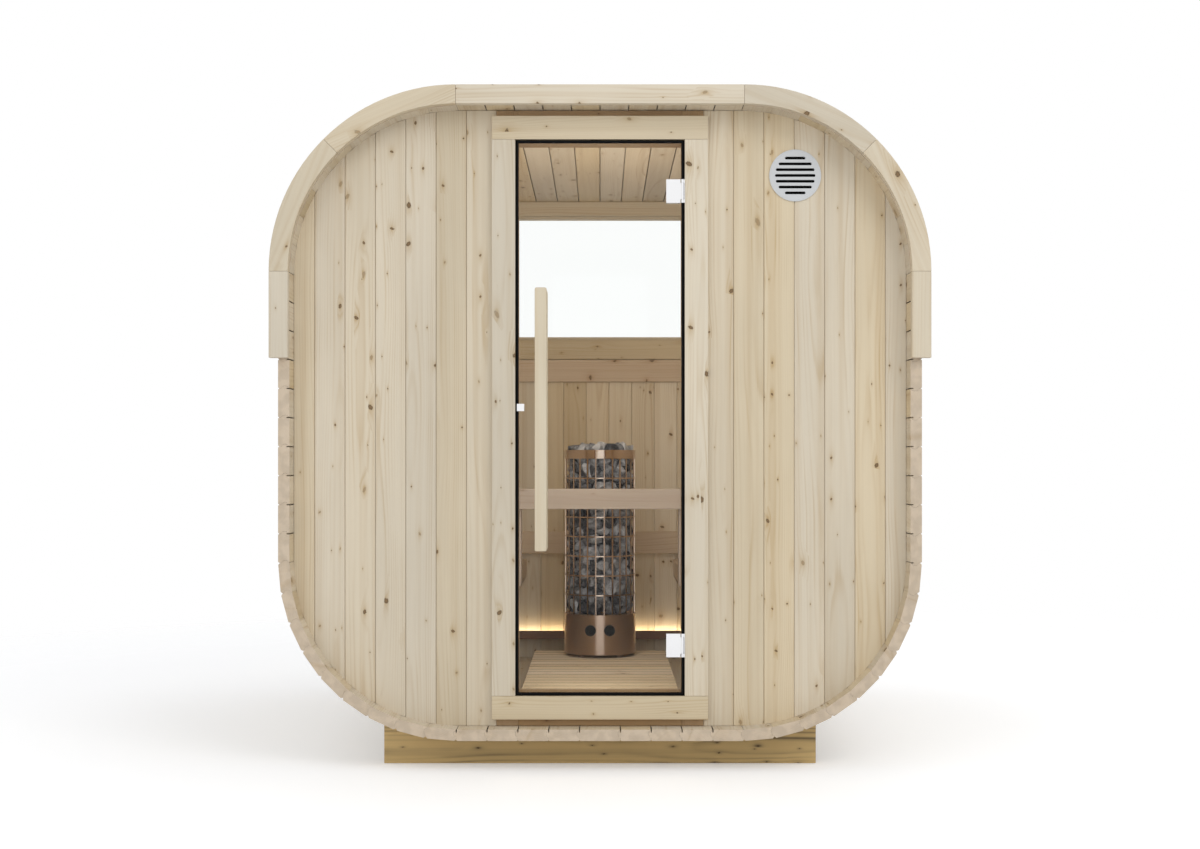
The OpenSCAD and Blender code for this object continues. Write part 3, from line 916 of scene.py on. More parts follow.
@dataclass(frozen=True)
class Granules(Finish):
    """Felt faced with crushed slate, one tone for each tab."""

    name: str
    dark: Colour = (0.020, 0.021, 0.023)
    pale: Colour = (0.075, 0.077, 0.082)

    def recipe(self) -> Recipe:
        """Small mixed grains with a slow drift of tone.

        Returns:
            The recipe.
        """
        r = Recipe(self.name)
        cells = r.node("ShaderNodeTexVoronoi")
        cells.inputs["Scale"].default_value = 620.0
        r.link(r.place(), cells.inputs["Vector"])
        chance = r.split(cells.outputs["Color"])[0]
        drift = r.noise(r.place(), 7.0, 3).outputs["Fac"]
        tab = r.math("MULTIPLY_ADD", r.mark("tone", number=True), 0.5, -0.25)
        level = r.math(
            "ADD",
            r.math("POWER", chance, 2.0),
            r.math("ADD", tab, r.math("MULTIPLY_ADD", drift, 0.5, -0.25)),
            clamp=True,
        )
        r.set(
            base_color=r.mix(level, self.dark, self.pale), roughness=r.math("MULTIPLY_ADD", chance, 0.15, 0.78)
        )
        r.bump(cells.outputs["Distance"], 0.0012, 0.7)
        return r


@dataclass(frozen=True)
class Rock(Finish):
    """Split olivine stone, each one with its own grey."""

    name: str
    dark: Colour = (0.028, 0.029, 0.033)
    pale: Colour = (0.46, 0.46, 0.47)

    def recipe(self) -> Recipe:
        """Speckled grey, each stone with its own tone.

        Returns:
            The recipe.
        """
        r = Recipe(self.name)
        coarse = r.noise(r.place(), 45.0, 4, 0.65).outputs["Fac"]
        fine = r.noise(r.place(), 260.0, 3, 0.6).outputs["Fac"]
        own = r.mark("tone", number=True)
        level = r.math(
            "ADD", r.reach(coarse, 0.40, 0.62, -0.08, 0.22), r.math("MULTIPLY_ADD", own, 0.85, -0.20)
        )
        level = r.math("ADD", level, r.math("MULTIPLY_ADD", fine, 1.1, -0.50), clamp=True)
        r.set(base_color=r.mix(level, self.dark, self.pale), roughness=0.85)
        r.bump(r.math("ADD", r.math("MULTIPLY", coarse, 2.0), fine), 0.0016, 0.9)
        return r


@dataclass(frozen=True)
class Glow(Finish):
    """A lit strip behind a frosted cover."""

    name: str
    colour: Colour = (1.0, 0.79, 0.52)
    power: float = 8.0

    def recipe(self) -> Recipe:
        """Light a little uneven along the strip.

        Returns:
            The recipe.
        """
        r = Recipe(self.name)
        ripple = r.noise(r.place(), 30.0, 1).outputs["Fac"]
        r.set(base_color=(0.9, 0.85, 0.75), emission_color=r.mix(ripple, self.colour, (1.0, 0.83, 0.56)))
        r.set(emission_strength=self.power)
        return r


SPRUCE = Timber("spruce boards", (0.685, 0.610, 0.485), (0.51, 0.385, 0.230), (0.52, 0.43, 0.33))
STAVE = Timber("spruce staves", (0.650, 0.575, 0.455), (0.46, 0.34, 0.20), (0.60, 0.495, 0.375))
JOINERY = Timber(
    "spruce joinery", (0.665, 0.595, 0.475), (0.50, 0.385, 0.235), (0.56, 0.47, 0.36), knots=0.3, contrast=0.6
)
# Darker brown wood for the jambs and the head and sill rails. It is darkened to carry the shade above and below the
# casing and inside the jambs: painted shade.
SHADED_JAMB = Timber("jamb wood with painted shade", (0.450, 0.315, 0.190), (0.32, 0.200, 0.105), (0.38, 0.27, 0.16), knots=0.3)
BOW = Timber("bow wood", (0.670, 0.600, 0.480), (0.51, 0.39, 0.24), (0.56, 0.47, 0.36), knots=0.2, contrast=0.6)
INSIDE = Timber("lining wood", (0.585, 0.470, 0.345), (0.41, 0.27, 0.155), (0.50, 0.40, 0.30))
ALDER = Timber(
    "alder", (0.560, 0.470, 0.385), (0.42, 0.32, 0.24), (0.48, 0.39, 0.31), knots=0.05, contrast=0.4, ring=0.004
)
SLAT = Timber(
    "floor slat wood", (0.66, 0.555, 0.420), (0.48, 0.36, 0.24), (0.52, 0.42, 0.31), knots=0.2, contrast=0.6
)
# A darker copy of the bench alder for the heater rail and the bench brackets, darkened for the shade they fall in:
# painted shade.
SHADED_ALDER = Timber(
    "alder with painted shade",
    (0.430, 0.355, 0.290),
    (0.34, 0.26, 0.20),
    (0.38, 0.31, 0.25),
    knots=0.12,
    contrast=0.9,
    ring=0.005,
)
HANDLE = Timber(
    "handle wood",
    (0.665, 0.595, 0.47),
    (0.55, 0.44, 0.28),
    (0.58, 0.49, 0.38),
    knots=0.0,
    contrast=0.35,
    ring=0.004,
)
TOASTED = Timber(
    "toasted wood", (0.24, 0.135, 0.085), (0.12, 0.062, 0.038), (0.15, 0.085, 0.055), knots=0.1, contrast=0.6
)
TREATED = Timber("treated softwood", (0.62, 0.450, 0.210), (0.21, 0.155, 0.080), (0.46, 0.33, 0.15),
                 knot=(0.12, 0.08, 0.035), contrast=1.35, ring=0.009, knots=0.4, fibre=0.08)


# ---- The cabin's sizes ---------------------------------------------------------


@dataclass(frozen=True)
class Cabin:
    """The sizes that several sub-assemblies share, in metres."""

    width: float = 2.060
    height: float = 2.070
    length: float = 2.030
    corner: float = 0.570
    stave: float = 0.045
    lift: float = 0.098
    inset: float = 0.075
    wall: float = 0.045
    croze: float = 0.008

    @property
    def flat_w(self) -> float:
        """The flat part of the ceiling and the floor."""
        return self.width - 2 * self.corner

    @property
    def flat_h(self) -> float:
        """The flat part of a side."""
        return self.height - 2 * self.corner

    @property
    def low_z(self) -> float:
        """The height of the lower corners' centres."""
        return self.lift + self.corner

    @property
    def high_z(self) -> float:
        """The height of the upper corners' centres."""
        return self.lift + self.height - self.corner

    def y(self, depth: float) -> float:
        """The frame's Y at a depth behind the front stave ends."""
        return depth - self.length / 2

    def z(self, height: float) -> float:
        """The frame's Z at a height above the shell's underside."""
        return height + self.lift

    def outline(self, depth: float, length: float, grow: float) -> Piece:
        """A solid of the shell's rounded outline.

        Args:
            depth: Its front behind the stave ends.
            length: Its length towards the back.
            grow: How far it lies outside the shell, or inside it if negative.

        Returns:
            The solid.
        """
        half, top = self.width / 2 + grow, self.lift + self.height + grow
        piece = block((-half, self.y(depth), self.lift - grow), (half, self.y(depth + length), top))
        with editing(piece, "EDGE") as mesh:
            pick(
                piece,
                mesh.edges,
                lambda m: abs(m.x) > half - 1e-4 and abs(
                    abs(m.z - (top + self.lift - grow) / 2) - (top - self.lift + grow) / 2
                ) < 1e-4,
            )
            bpy.ops.mesh.bevel(offset=self.corner + grow, segments=36, affect="EDGES")
        return piece


CABIN = Cabin()


class SubAssembly:
    """A named group of pieces with its sizes, its making and its finishes."""

    cabin: Cabin = CABIN

    def build(self) -> list[Piece]:
        """Makes the pieces in place."""
        raise NotImplementedError

    def keep(self, piece: Piece, finish: Finish, slot: str, *nodes: str, body: str = "cabin") -> Piece:
        """Dresses a finished piece and puts it on its body.

        Args:
            piece: The piece.
            finish: What it is made of.
            slot: The record's material slot; not used.
            nodes: The solids it stands for.
            body: The body it rides on.

        Returns:
            The piece.
        """
        finish.dress(piece)
        if nodes:
            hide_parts(*nodes)
        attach(piece, body)
        log.info("%s: %d faces", piece.name, len(piece.data.polygons))
        return piece


@dataclass
class StaveShell(SubAssembly):
    """The rounded-square shell of bead-and-cove staves."""

    bead_r: float = 0.014
    bead_h: float = 0.008
    chamfer: float = 0.003
    gap: float = 0.0004
    taper: float = 0.0015
    slot: tuple[float, float] = (0.0020, 0.010)
    corner_count: int = 9
    side_count: int = 10
    ceiling_count: int = 10
    floor_count: int = 4
    closing: float = 0.131

    def plank(self, out_w: float, in_w: float, out_z: float, in_z: float, bend: float | None = None) -> Piece:
        """A stave's body with its long edges chamfered.

        Args:
            out_w: Its width outside.
            in_w: Its width towards the room.
            out_z: The height of its outer face.
            in_z: The height of its inner face.
            bend: The height down to which its edges are square, if they are not straight.

        Returns:
            The body.
        """
        half = self.cabin.length / 2
        piece = block((-out_w / 2, -half, in_z), (out_w / 2, half, out_z))
        if bend is not None:
            with editing(piece):
                bpy.ops.mesh.select_all(action="SELECT")
                bpy.ops.mesh.bisect(plane_co=(0, 0, bend), plane_no=(0, 0, 1))
        with editing(piece) as mesh:
            pick(piece, mesh.faces, lambda m: m.z < in_z + 1e-5)
            bpy.ops.transform.resize(value=(in_w / out_w, 1, 1), center_override=(0, 0, 0))
        wide = self.chamfer if bend is not None else 2 * self.chamfer
        for height, width in ((out_z, wide), (in_z, self.chamfer / 2)):
            with editing(piece, "EDGE") as mesh:
                pick(
                    piece,
                    mesh.edges,
                    lambda m: abs(m.z - height) < 1e-5 and abs(m.x) > in_w / 2 - 1e-4 and abs(m.y) < 1e-4,
                )
                bpy.ops.mesh.bevel(offset=width, segments=1, affect="EDGES")
        return piece

    def edged(self, piece: Piece, right: Vector, left: Vector, bottom: float) -> Piece:
        """Adds the bead and cuts the cove and the rebates before the end walls.

        Args:
            piece: The stave's body.
            right: The middle of the bead.
            left: The middle of the cove.
            bottom: The height of the stave's inner face.

        Returns:
            The stave.
        """
        c = self.cabin
        bead = rod((right.x, 0, right.z), Axis.Y, self.bead_r, c.length, 36)
        cut(piece, bead, "UNION")
        cut(piece, rod((left.x, 0, left.z), Axis.Y, self.bead_r + self.gap, c.length + 0.1, 36))
        seat = c.inset + c.wall + 0.0002
        for depth in (-OVERCUT, c.length - seat):
            low = (-0.2, c.y(depth), bottom - 0.02)
            high = (0.2, c.y(depth + seat + OVERCUT), bottom + c.croze + 0.0006)
            cut(piece, block(low, high))
        return soften(piece, 0.0005, 1)

    def flat(self, width: float) -> Piece:
        """A flat stave, its outside up at height 0 and its bead on the right.

        Args:
            width: Its cover.

        Returns:
            The stave.
        """
        set_in, middle = self.bead_r - self.bead_h, -self.cabin.stave / 2
        out_w = width - self.gap
        body = self.plank(out_w, out_w - 2 * self.taper, 0, -self.cabin.stave, middle)
        right = Vector((width / 2 - set_in, 0, middle))
        piece = self.edged(body, right, Vector((-width / 2 - set_in, 0, middle)), -self.cabin.stave)
        c, (wide, deep) = self.cabin, self.slot
        low = c.croze - c.stave - OVERCUT
        for x in (-width / 2, width / 2):
            for y0, y1 in ((-OVERCUT, c.inset), (c.length - c.inset, c.length + OVERCUT)):
                cut(piece, block((x - wide, c.y(y0), low), (x + wide, c.y(y1), c.croze - c.stave + deep)))
        return piece

    def wedge(self) -> Piece:
        """A corner stave about the corner's centre, pointing up.

        Returns:
            The stave.
        """
        c, half = self.cabin, math.radians(45 / self.corner_count)
        outer, inner = c.corner, c.corner - c.stave
        body = self.plank(
            2 * outer * math.sin(half) - self.gap,
            2 * inner * math.sin(half) - self.gap,
            outer * math.cos(half),
            inner * math.cos(half),
        )
        centre = Vector((self.bead_h - self.bead_r, 0, outer - c.stave / 2))
        right = Matrix.Rotation(half, 3, "Y") @ centre
        left = Matrix.Rotation(-half, 3, "Y") @ centre
        return self.edged(body, right, left, inner * math.cos(half))

    def row(self, pattern: Piece, places: Sequence[Matrix], name: str) -> Piece:
        """Copies a stave to each place and joins the copies.

        Args:
            pattern: The stave to repeat.
            places: Where each copy goes.
            name: The row's name.

        Returns:
            The row.
        """
        # Painted shade on the staves' side faces, so that the joints read dark.
        mark_seams(pattern, Axis.X)
        piece = joined([copied(pattern, place) for place in places], name)
        discard(pattern)
        return piece

    def upright(self, x: float, z: float, degrees: float) -> Matrix:
        """A move in the cabin's cross-section: a turn, then a shift."""
        return Matrix.Translation((x, 0, z)) @ Matrix.Rotation(-math.radians(degrees), 4, "Y")

    def build(self) -> list[Piece]:
        """Makes the sides, the ceiling, the floor and the four corners.

        Returns:
            The pieces.
        """
        c, pieces = self.cabin, []
        for side in Side:
            place = self.upright(side.value * c.width / 2, c.z(c.height / 2), -side.value * 90)
            pieces.append(
                self.straight_row(
                    c.flat_h, self.side_count, place, f"staves_{side.word}", f"side_staves_{side.word}"
                )
            )
        place = self.upright(0, c.z(c.height), 0)
        pieces.append(self.straight_row(c.flat_w, self.ceiling_count, place, "staves_above", "ceiling_staves"))
        pieces.append(self.floor_row())
        for side in Side:
            for word, z, start in (("top", c.high_z, {1: 0, -1: 90}), ("bottom", c.low_z, {1: -90, -1: 180})):
                turns = [
                    start[side.value] - (2 * k + 1) * 45 / self.corner_count for k in range(self.corner_count)
                ]
                places = [self.upright(side.value * c.flat_w / 2, z, turn) for turn in turns]
                piece = self.row(self.wedge(), places, f"staves_{word}_{side.word}")
                mark_grain(piece, 40 + len(pieces), lambda _: Axis.Y.vector)
                self.keep(piece, STAVE, "stave_spruce", f"corner_staves_{word}_{side.word}")
                pieces.append(piece)
        return pieces

    def straight_row(self, width: float, count: int, place: Matrix, name: str, node: str) -> Piece:
        """A row of equal flat staves.

        Args:
            width: The row's width.
            count: How many staves it has.
            place: Where the row goes.
            name: Its name.
            node: The solid it stands for.

        Returns:
            The row.
        """
        pitch = width / count
        shifts = [Matrix.Translation(((k + 0.5) * pitch - width / 2, 0, 0)) for k in range(count)]
        piece = self.row(self.flat(pitch), [place @ shift for shift in shifts], name)
        mark_grain(piece, len(name) + count, lambda _: Axis.Y.vector)
        return self.keep(piece, STAVE, "stave_spruce", node)

    def floor_row(self) -> Piece:
        """The floor's row, with its wide closing stave.

        Returns:
            The row.
        """
        c, place = self.cabin, self.upright(0, self.cabin.z(0), 180)
        pitch = (c.flat_w - self.closing) / 2 / self.floor_count
        shifts = [s * (self.closing / 2 + (k + 0.5) * pitch) for s in (-1, 1) for k in range(self.floor_count)]
        narrow = self.row(self.flat(pitch), [place @ Matrix.Translation((x, 0, 0)) for x in shifts], "narrow")
        wide = self.row(self.flat(self.closing), [place], "wide")
        piece = mark_grain(joined([narrow, wide], "staves_below"), 77, lambda _: Axis.Y.vector)
        return self.keep(piece, STAVE, "stave_spruce", "floor_staves")


@dataclass
class EndWalls(SubAssembly):
    """Upright tongue-and-groove boards let into the staves at both ends."""

    pitch: float = 0.0986
    first: float = 0.6305
    groove: float = 0.0022
    tongue: tuple[float, float] = (0.012, 0.007)
    jamb_out: float = 0.336
    window_out: float = 0.455
    sill: float = 1.341
    vent: tuple[float, float, float] = (0.633, 1.822, 0.070)

    def board(self) -> Piece:
        """One board about the origin, with tongue, groove and V joints.

        Returns:
            The board.
        """
        c, w = self.cabin, self.pitch - 0.0008
        thick, reach = self.tongue
        piece = block((-w / 2, -c.wall / 2, 0), (w / 2, c.wall / 2, c.height))
        with editing(piece, "EDGE") as mesh:
            pick(
                piece,
                mesh.edges,
                lambda m: abs(m.x) > w / 2 - 1e-5 and abs(m.y) > c.wall / 2 - 1e-5 and abs(m.z - c.height / 2) < 1e-4,
            )
            bpy.ops.mesh.bevel(offset=self.groove, segments=1, affect="EDGES")
        tongue = block((w / 2 - 0.002, -thick / 2, 0), (w / 2 + reach, thick / 2, c.height))
        cut(piece, tongue, "UNION")
        slot = block(
            (-w / 2 - 0.002, -thick / 2 - FIT, -0.01),
            (reach + 0.0012 - w / 2, thick / 2 + FIT, c.height + 0.01),
        )
        return cut(piece, slot)

    def wall(self, depth: float, x0: float, x1: float, top: float, name: str) -> Piece:
        """A piece of wall, cut to the shell's inside.

        Args:
            depth: Its front behind the stave ends.
            x0: Its left edge.
            x1: Its right edge.
            top: Its top above the shell's underside.
            name: Its name.

        Returns:
            The boards as one mesh.
        """
        c, pattern = self.cabin, self.board()
        count = math.ceil(c.width / self.pitch) + 1
        mirror = -1 if x1 < 0 else 1
        shift = self.first % self.pitch - self.pitch / 2
        centres = [(shift + k * self.pitch) * mirror for k in range(-count // 2, count // 2 + 1)]
        centres = [x for x in centres if x0 - self.pitch / 2 < x < x1 + self.pitch / 2 and abs(x) < c.width / 2]
        places = [Matrix.Translation((x, c.y(depth + c.wall / 2), c.lift)) for x in centres]
        piece = joined([copied(pattern, place) for place in places], name)
        discard(pattern)
        keep = c.outline(depth - 0.01, c.wall + 0.02, c.croze - 0.0004 - c.stave)
        for x, out in ((x0, -1), (x1, 1)):
            if abs(x) < c.width / 2:
                cut(keep, block((min(x, x + out * 3), -3, -1), (max(x, x + out * 3), 3, 4)))
        if top < c.height:
            cut(keep, block((-3, -3, c.z(top)), (3, 3, 4)))
        return cut(piece, keep, "INTERSECT")

    def build(self) -> list[Piece]:
        """Makes the two front pieces and the three rear ones.

        Returns:
            The pieces.
        """
        c, pieces = self.cabin, []
        rear = c.length - c.inset - c.wall
        far = c.width
        plan = [
            ("front_boards_left", c.inset, -far, -self.jamb_out - FIT, c.height, "front_wall_left"),
            ("front_boards_right", c.inset, self.jamb_out + FIT, far, c.height, "front_wall_right"),
            ("rear_boards_left", rear, -far, -self.window_out - FIT, c.height, "rear_wall_left"),
            ("rear_boards_right", rear, self.window_out + FIT, far, c.height, "rear_wall_right"),
            ("rear_boards_below", rear, -self.window_out, self.window_out, self.sill, "rear_wall_below"),
        ]
        for seed, (name, depth, x0, x1, top, node) in enumerate(plan):
            piece = self.wall(depth, x0, x1, top, name)
            if name == "front_boards_right":
                x, z, r = self.vent
                cut(piece, rod((x, c.y(depth + c.wall / 2), c.z(z)), Axis.Y, r, 0.2, 64))
            soften(piece, 0.0004, 1)
            mark_grain(piece, 11 + 7 * seed, lambda _: Axis.Z.vector, depth=(0.05, 0.10))
            pieces.append(self.keep(piece, SPRUCE, "wall_spruce", node))
        return pieces


@dataclass
class Bows(SubAssembly):
    """The bow trims over the stave ends, front and back, in seven pieces each."""

    out: float = 0.025
    width: float = 0.061
    thick: float = 0.028
    foot: float = 1.225
    ease: float = 0.0012

    def arc(self, side: Side, start: float, y0: float) -> Piece:
        """A sawn eighth of a circle, starting at an angle from level.

        Args:
            side: The side of the cabin.
            start: The angle it starts at, in degrees.
            y0: Its front.

        Returns:
            The arc.
        """
        c = self.cabin
        centre = Vector((side.value * c.flat_w / 2, 0, c.high_z))
        r1 = c.corner + self.out
        gap = 0.0002 / r1
        low, high = (centre.x + r1 - self.width, y0, centre.z), (centre.x + r1, y0 + self.thick, centre.z)
        angle = math.radians(45) - 2 * gap
        piece = sweep(low, high, [Turn(tuple(centre), -angle, 14)], "arc")
        turn = -math.radians(start) - gap
        move = Matrix.Translation(centre) @ Matrix.Rotation(turn, 4, "Y") @ Matrix.Translation(-centre)
        piece.data.transform(move)
        if side is Side.LEFT:
            mirror = Matrix.Translation(centre) @ Matrix.Scale(-1, 4, (1, 0, 0)) @ Matrix.Translation(-centre)
            piece.data.transform(mirror)
            piece.data.flip_normals()
        return piece

    def chord(self, middle: Vector) -> Vector:
        """The grain's direction of the bow piece at a point.

        Args:
            middle: A board's middle.

        Returns:
            The direction.
        """
        c = self.cabin
        if middle.z < c.high_z:
            return Axis.Z.vector
        if abs(middle.x) < c.flat_w / 2:
            return Axis.X.vector
        offset = Vector((abs(middle.x) - c.flat_w / 2, 0, middle.z - c.high_z))
        angle = math.degrees(math.atan2(offset.z, offset.x))
        lie = math.radians(112.5 if angle < 45 else 157.5)
        return Vector((math.cos(lie) * math.copysign(1, middle.x), 0, math.sin(lie)))

    def build(self) -> list[Piece]:
        """Makes each side's feet and arcs, then the straight tops.

        Returns:
            The pieces.
        """
        c, pieces = self.cabin, []
        fronts = (c.y(-self.thick), c.y(c.length))
        edge = c.width / 2 + self.out
        for side in Side:
            parts = []
            for y0 in fronts:
                xs = sorted((side.value * edge, side.value * (edge - self.width)))
                parts.append(block((xs[0], y0, c.z(self.foot)), (xs[1], y0 + self.thick, c.high_z - 0.0002)))
                parts += [self.arc(side, start, y0) for start in (0, 45)]
            piece = soften(joined(parts, f"bow_{side.word}"), self.ease)
            mark_grain(piece, 60 + side.value, self.chord, tilt=0.004)
            pieces.append(self.keep(piece, BOW, "trim_spruce", f"trim_{side.word}"))
        top = c.z(c.height) + self.out
        tops = [
            block((-c.flat_w / 2 + FIT, y0, top - self.width), (c.flat_w / 2 - FIT, y0 + self.thick, top))
            for y0 in fronts
        ]
        piece = mark_grain(soften(joined(tops, "bow_top"), self.ease), 63)
        pieces.append(self.keep(piece, BOW, "trim_spruce", "trim_top"))
        return pieces


@dataclass
class DoorFrame(SubAssembly):
    """The jambs, head, sill, casing boards and the black seal."""

    opening: tuple[float, float, float] = (0.548, 0.136, 1.936)
    casing: tuple[float, float] = (0.076, 0.022)
    rebate: float = 0.008
    jamb: tuple[float, float] = (0.070, 0.085)
    seal: tuple[float, float] = (0.010, 0.004)

    def build(self) -> list[Piece]:
        """Makes the frame from outside inwards.

        Returns:
            The pieces.
        """
        c = self.cabin
        width, low, high = self.opening
        x, y = width / 2, c.y(c.inset)
        wide, thick = self.casing
        z0, z1 = c.z(low), c.z(high)
        y0 = y - thick
        boards = [
            block((min(s * x, s * (x + wide)), y0, z0 + FIT), (max(s * x, s * (x + wide)), y, z1 - FIT))
            for s in (-1, 1)
        ]
        boards += [block((-x - wide, y0, a), (x + wide, y, a + wide)) for a in (z1, z0 - wide)]
        casing = mark_grain(soften(joined(boards, "casing_boards"), 0.0016), 5, depth=(0.05, 0.09))
        pieces = [self.keep(casing, JOINERY, "frame_spruce", "door_casing")]
        inner = x - self.rebate
        floor, ceiling = c.z(c.stave + FIT), c.z(c.height - c.stave - FIT)
        wide, deep = self.jamb
        for side in Side:
            xs = sorted((side.value * inner, side.value * (inner + wide)))
            jamb = soften(
                self.seated(block((xs[0], y, floor - c.croze), (xs[1], y + deep, ceiling + c.croze))), 0.0015
            )
            jamb.name = f"jamb_{side.word}"
            mark_grain(jamb, 21 + side.value)
            pieces.append(self.keep(jamb, SHADED_JAMB, "frame_spruce", f"door_jamb_{side.word}"))
        spans = ((z1 - self.rebate, ceiling + c.croze), (floor - c.croze, z0 + self.rebate))
        rails = [self.seated(block((FIT - inner, y, a), (inner - FIT, y + deep, b))) for a, b in spans]
        rails_piece = mark_grain(soften(joined(rails, "head_and_sill"), 0.0015), 24)
        pieces.append(self.keep(rails_piece, SHADED_JAMB, "frame_spruce", "door_rails"))
        pieces.append(self.seal_frame(x - FIT, y, z0 + FIT, z1 - FIT))
        return pieces

    def seated(self, piece: Piece) -> Piece:
        """Cuts a frame timber back behind the wall, so that its ends sit in the staves' rebate.

        Args:
            piece: The timber.

        Returns:
            The timber.
        """
        c = self.cabin
        back, floor, ceiling = c.y(c.inset + c.wall), c.z(c.stave + FIT), c.z(c.height - c.stave - FIT)
        cut(piece, block((-1, back, floor - 0.1), (1, back + 1, floor)))
        return cut(piece, block((-1, back, ceiling), (1, back + 1, ceiling + 0.1)))

    def seal_frame(self, x: float, y: float, z0: float, z1: float) -> Piece:
        """The soft seal that the glass closes on.

        Args:
            x: Half its width.
            y: Its back.
            z0: Its foot.
            z1: Its top.

        Returns:
            The seal.
        """
        wide, thick = self.seal
        piece = block((-x, y - thick, z0), (x, y, z1), "seal")
        cut(piece, block((wide - x, y - 1, z0 + wide), (x - wide, y + 1, z1 - wide)))
        soften(piece, 0.0012, 3)
        return self.keep(piece, SEAL, "seal_black", "door_seal")


@dataclass
class Door(SubAssembly):
    """The glass leaf with its wooden handles, hinge plates and catch."""

    glass_x: float = 0.2688
    glass_y: float = 0.0578
    glass_t: float = 0.008
    glass_z: tuple[float, float] = (0.1412, 1.9308)
    notch_x: float = 0.2600
    hinge_z: tuple[float, float] = (0.300, 1.768)
    hinge_h: float = 0.076
    plate: tuple[float, float] = (0.046, 0.006)
    pin: tuple[float, float] = (0.2665, 0.0538)
    knuckle_r: float = 0.005
    handle: tuple[float, float, float] = (0.845, 0.038, 0.028)
    handle_at: tuple[float, float] = (-0.190, 1.029)
    handle_gap: float = 0.032
    channel: tuple[float, float] = (0.0055, 0.0006)

    def pane(self) -> Piece:
        """The pane with a notch for each hinge and polished edges.

        Returns:
            The pane.
        """
        c = self.cabin
        y0 = c.y(self.glass_y)
        piece = block(
            (-self.glass_x, y0, c.z(self.glass_z[0])),
            (self.glass_x, y0 + self.glass_t, c.z(self.glass_z[1])),
            "door_pane",
        )
        for z in self.hinge_z:
            low = (self.notch_x - 0.00415, y0 - 1, c.z(z) - self.hinge_h / 2 - 0.002)
            cut(piece, block(low, (self.glass_x + 1, y0 + 1, c.z(z) + self.hinge_h / 2 + 0.002)))
        flat_edged(piece, 0.0008)
        return self.keep(piece, Glass("door glass"), "clear_glass", "door_glass", body="door")

    def rim(self) -> Piece:
        """A thin black channel round the pane, left out at the hinges.

        Returns:
            The rim.
        """
        c, (deep, thick) = self.cabin, self.channel
        y0, y1 = c.y(self.glass_y), c.y(self.glass_y + self.glass_t)
        x, z0, z1 = self.glass_x, c.z(self.glass_z[0]), c.z(self.glass_z[1])
        piece = block((-x - thick, y0 - thick, z0 - thick), (x + thick, y1 + thick, z1 + thick), "door_rim")
        cut(piece, block((-x, y0, z0), (x, y1, z1)))
        cut(piece, block((deep - x, y0 - 1, z0 + deep), (x - deep, y1 + 1, z1 - deep)))
        for z in self.hinge_z:
            reach = self.hinge_h / 2 + 0.002
            cut(piece, block((self.notch_x - 0.01, y0 - 1, c.z(z) - reach), (x + 1, y1 + 1, c.z(z) + reach)))
        smooth(piece)
        return self.keep(piece, SEAL, "seal_black", body="door")

    def bar(self, y0: float) -> Piece:
        """A handle bar with eased edges and cut corners.

        Args:
            y0: Its front.

        Returns:
            The bar.
        """
        c = self.cabin
        long, wide, thick = self.handle
        x, z = self.handle_at[0], c.z(self.handle_at[1])
        piece = block((x - wide / 2, y0, z - long / 2), (x + wide / 2, y0 + thick, z + long / 2))
        with editing(piece, "EDGE") as mesh:
            pick(
                piece,
                mesh.edges,
                lambda m: abs(abs(m.x - x) - wide / 2) < 1e-5 and abs(abs(m.z - z) - long / 2) < 1e-5,
            )
            bpy.ops.mesh.bevel(offset=0.006, segments=4, affect="EDGES")
        return soften(piece, 0.0025, 3)

    def handles(self) -> list[Piece]:
        """Both bars and the round standoffs between them and the glass.

        Returns:
            The pieces.
        """
        c = self.cabin
        y0, y1 = c.y(self.glass_y), c.y(self.glass_y + self.glass_t)
        thick = self.handle[2]
        bars = [self.bar(y0 - self.handle_gap - thick), self.bar(y1 + self.handle_gap)]
        wood = mark_grain(joined(bars, "handle_bars"), 31, depth=(0.06, 0.09))
        self.keep(wood, HANDLE, "handle_wood", "door_handle", body="door")
        posts = []
        for y in (y0 - self.handle_gap / 2, y1 + self.handle_gap / 2):
            for z in (-1, 1):
                centre = (self.handle_at[0], y, c.z(self.handle_at[1]) + z * self.handle[0] / 3)
                posts.append(rod(centre, Axis.Y, 0.009, self.handle_gap, 36))
                posts.append(
                    rod((centre[0], y0 - 0.001 if y < y0 else y1 + 0.001, centre[2]), Axis.Y, 0.012, 0.002, 36)
                )
        metal = soften(joined(posts, "handle_posts"), 0.0006)
        self.keep(metal, CHROME, "hinge_chrome", body="door")
        return [wood, metal]

    def hinge_half(self, z: float) -> list[Piece]:
        """The clamp plates and the knuckle of one hinge.

        Args:
            z: The height of its middle.

        Returns:
            Its plates.
        """
        c = self.cabin
        wide, thick = self.plate
        y0, y1 = c.y(self.glass_y), c.y(self.glass_y + self.glass_t)
        low, high = z - self.hinge_h / 2, z + self.hinge_h / 2
        k0, k1 = low + 0.0115, high - 0.0115
        x, y = self.pin[0], c.y(self.pin[1])
        body = block((self.notch_x - wide, y0 - thick, low), (self.notch_x, y0, high))
        cut(body, block((self.notch_x - 0.004, y0 - thick, k0), (self.notch_x, y1 + thick, k1)), "UNION")
        cut(body, block((self.notch_x - wide, y1, low), (self.notch_x, y1 + thick, high)), "UNION")
        cut(body, block((self.notch_x - 0.004, y - thick / 2, k0), (x, y + thick / 2, k1)), "UNION")
        cut(body, rod((x, y, (k0 + k1) / 2), Axis.Z, self.knuckle_r, k1 - k0, 40), "UNION")
        cut(body, rod((x, y, z), Axis.Z, 0.00255, self.hinge_h + 0.01, 32))
        screws = []
        for dz in (-0.022, 0.022):
            head = rod((self.notch_x - wide / 2, y1 + thick + 0.0006, z + dz), Axis.Y, 0.0055, 0.0012, 28)
            screws.append(
                cut(
                    head, rod((self.notch_x - wide / 2, y1 + thick + 0.0012, z + dz), Axis.Y, 0.0025, 0.0012, 6)
                )
            )
        return [body, *screws]

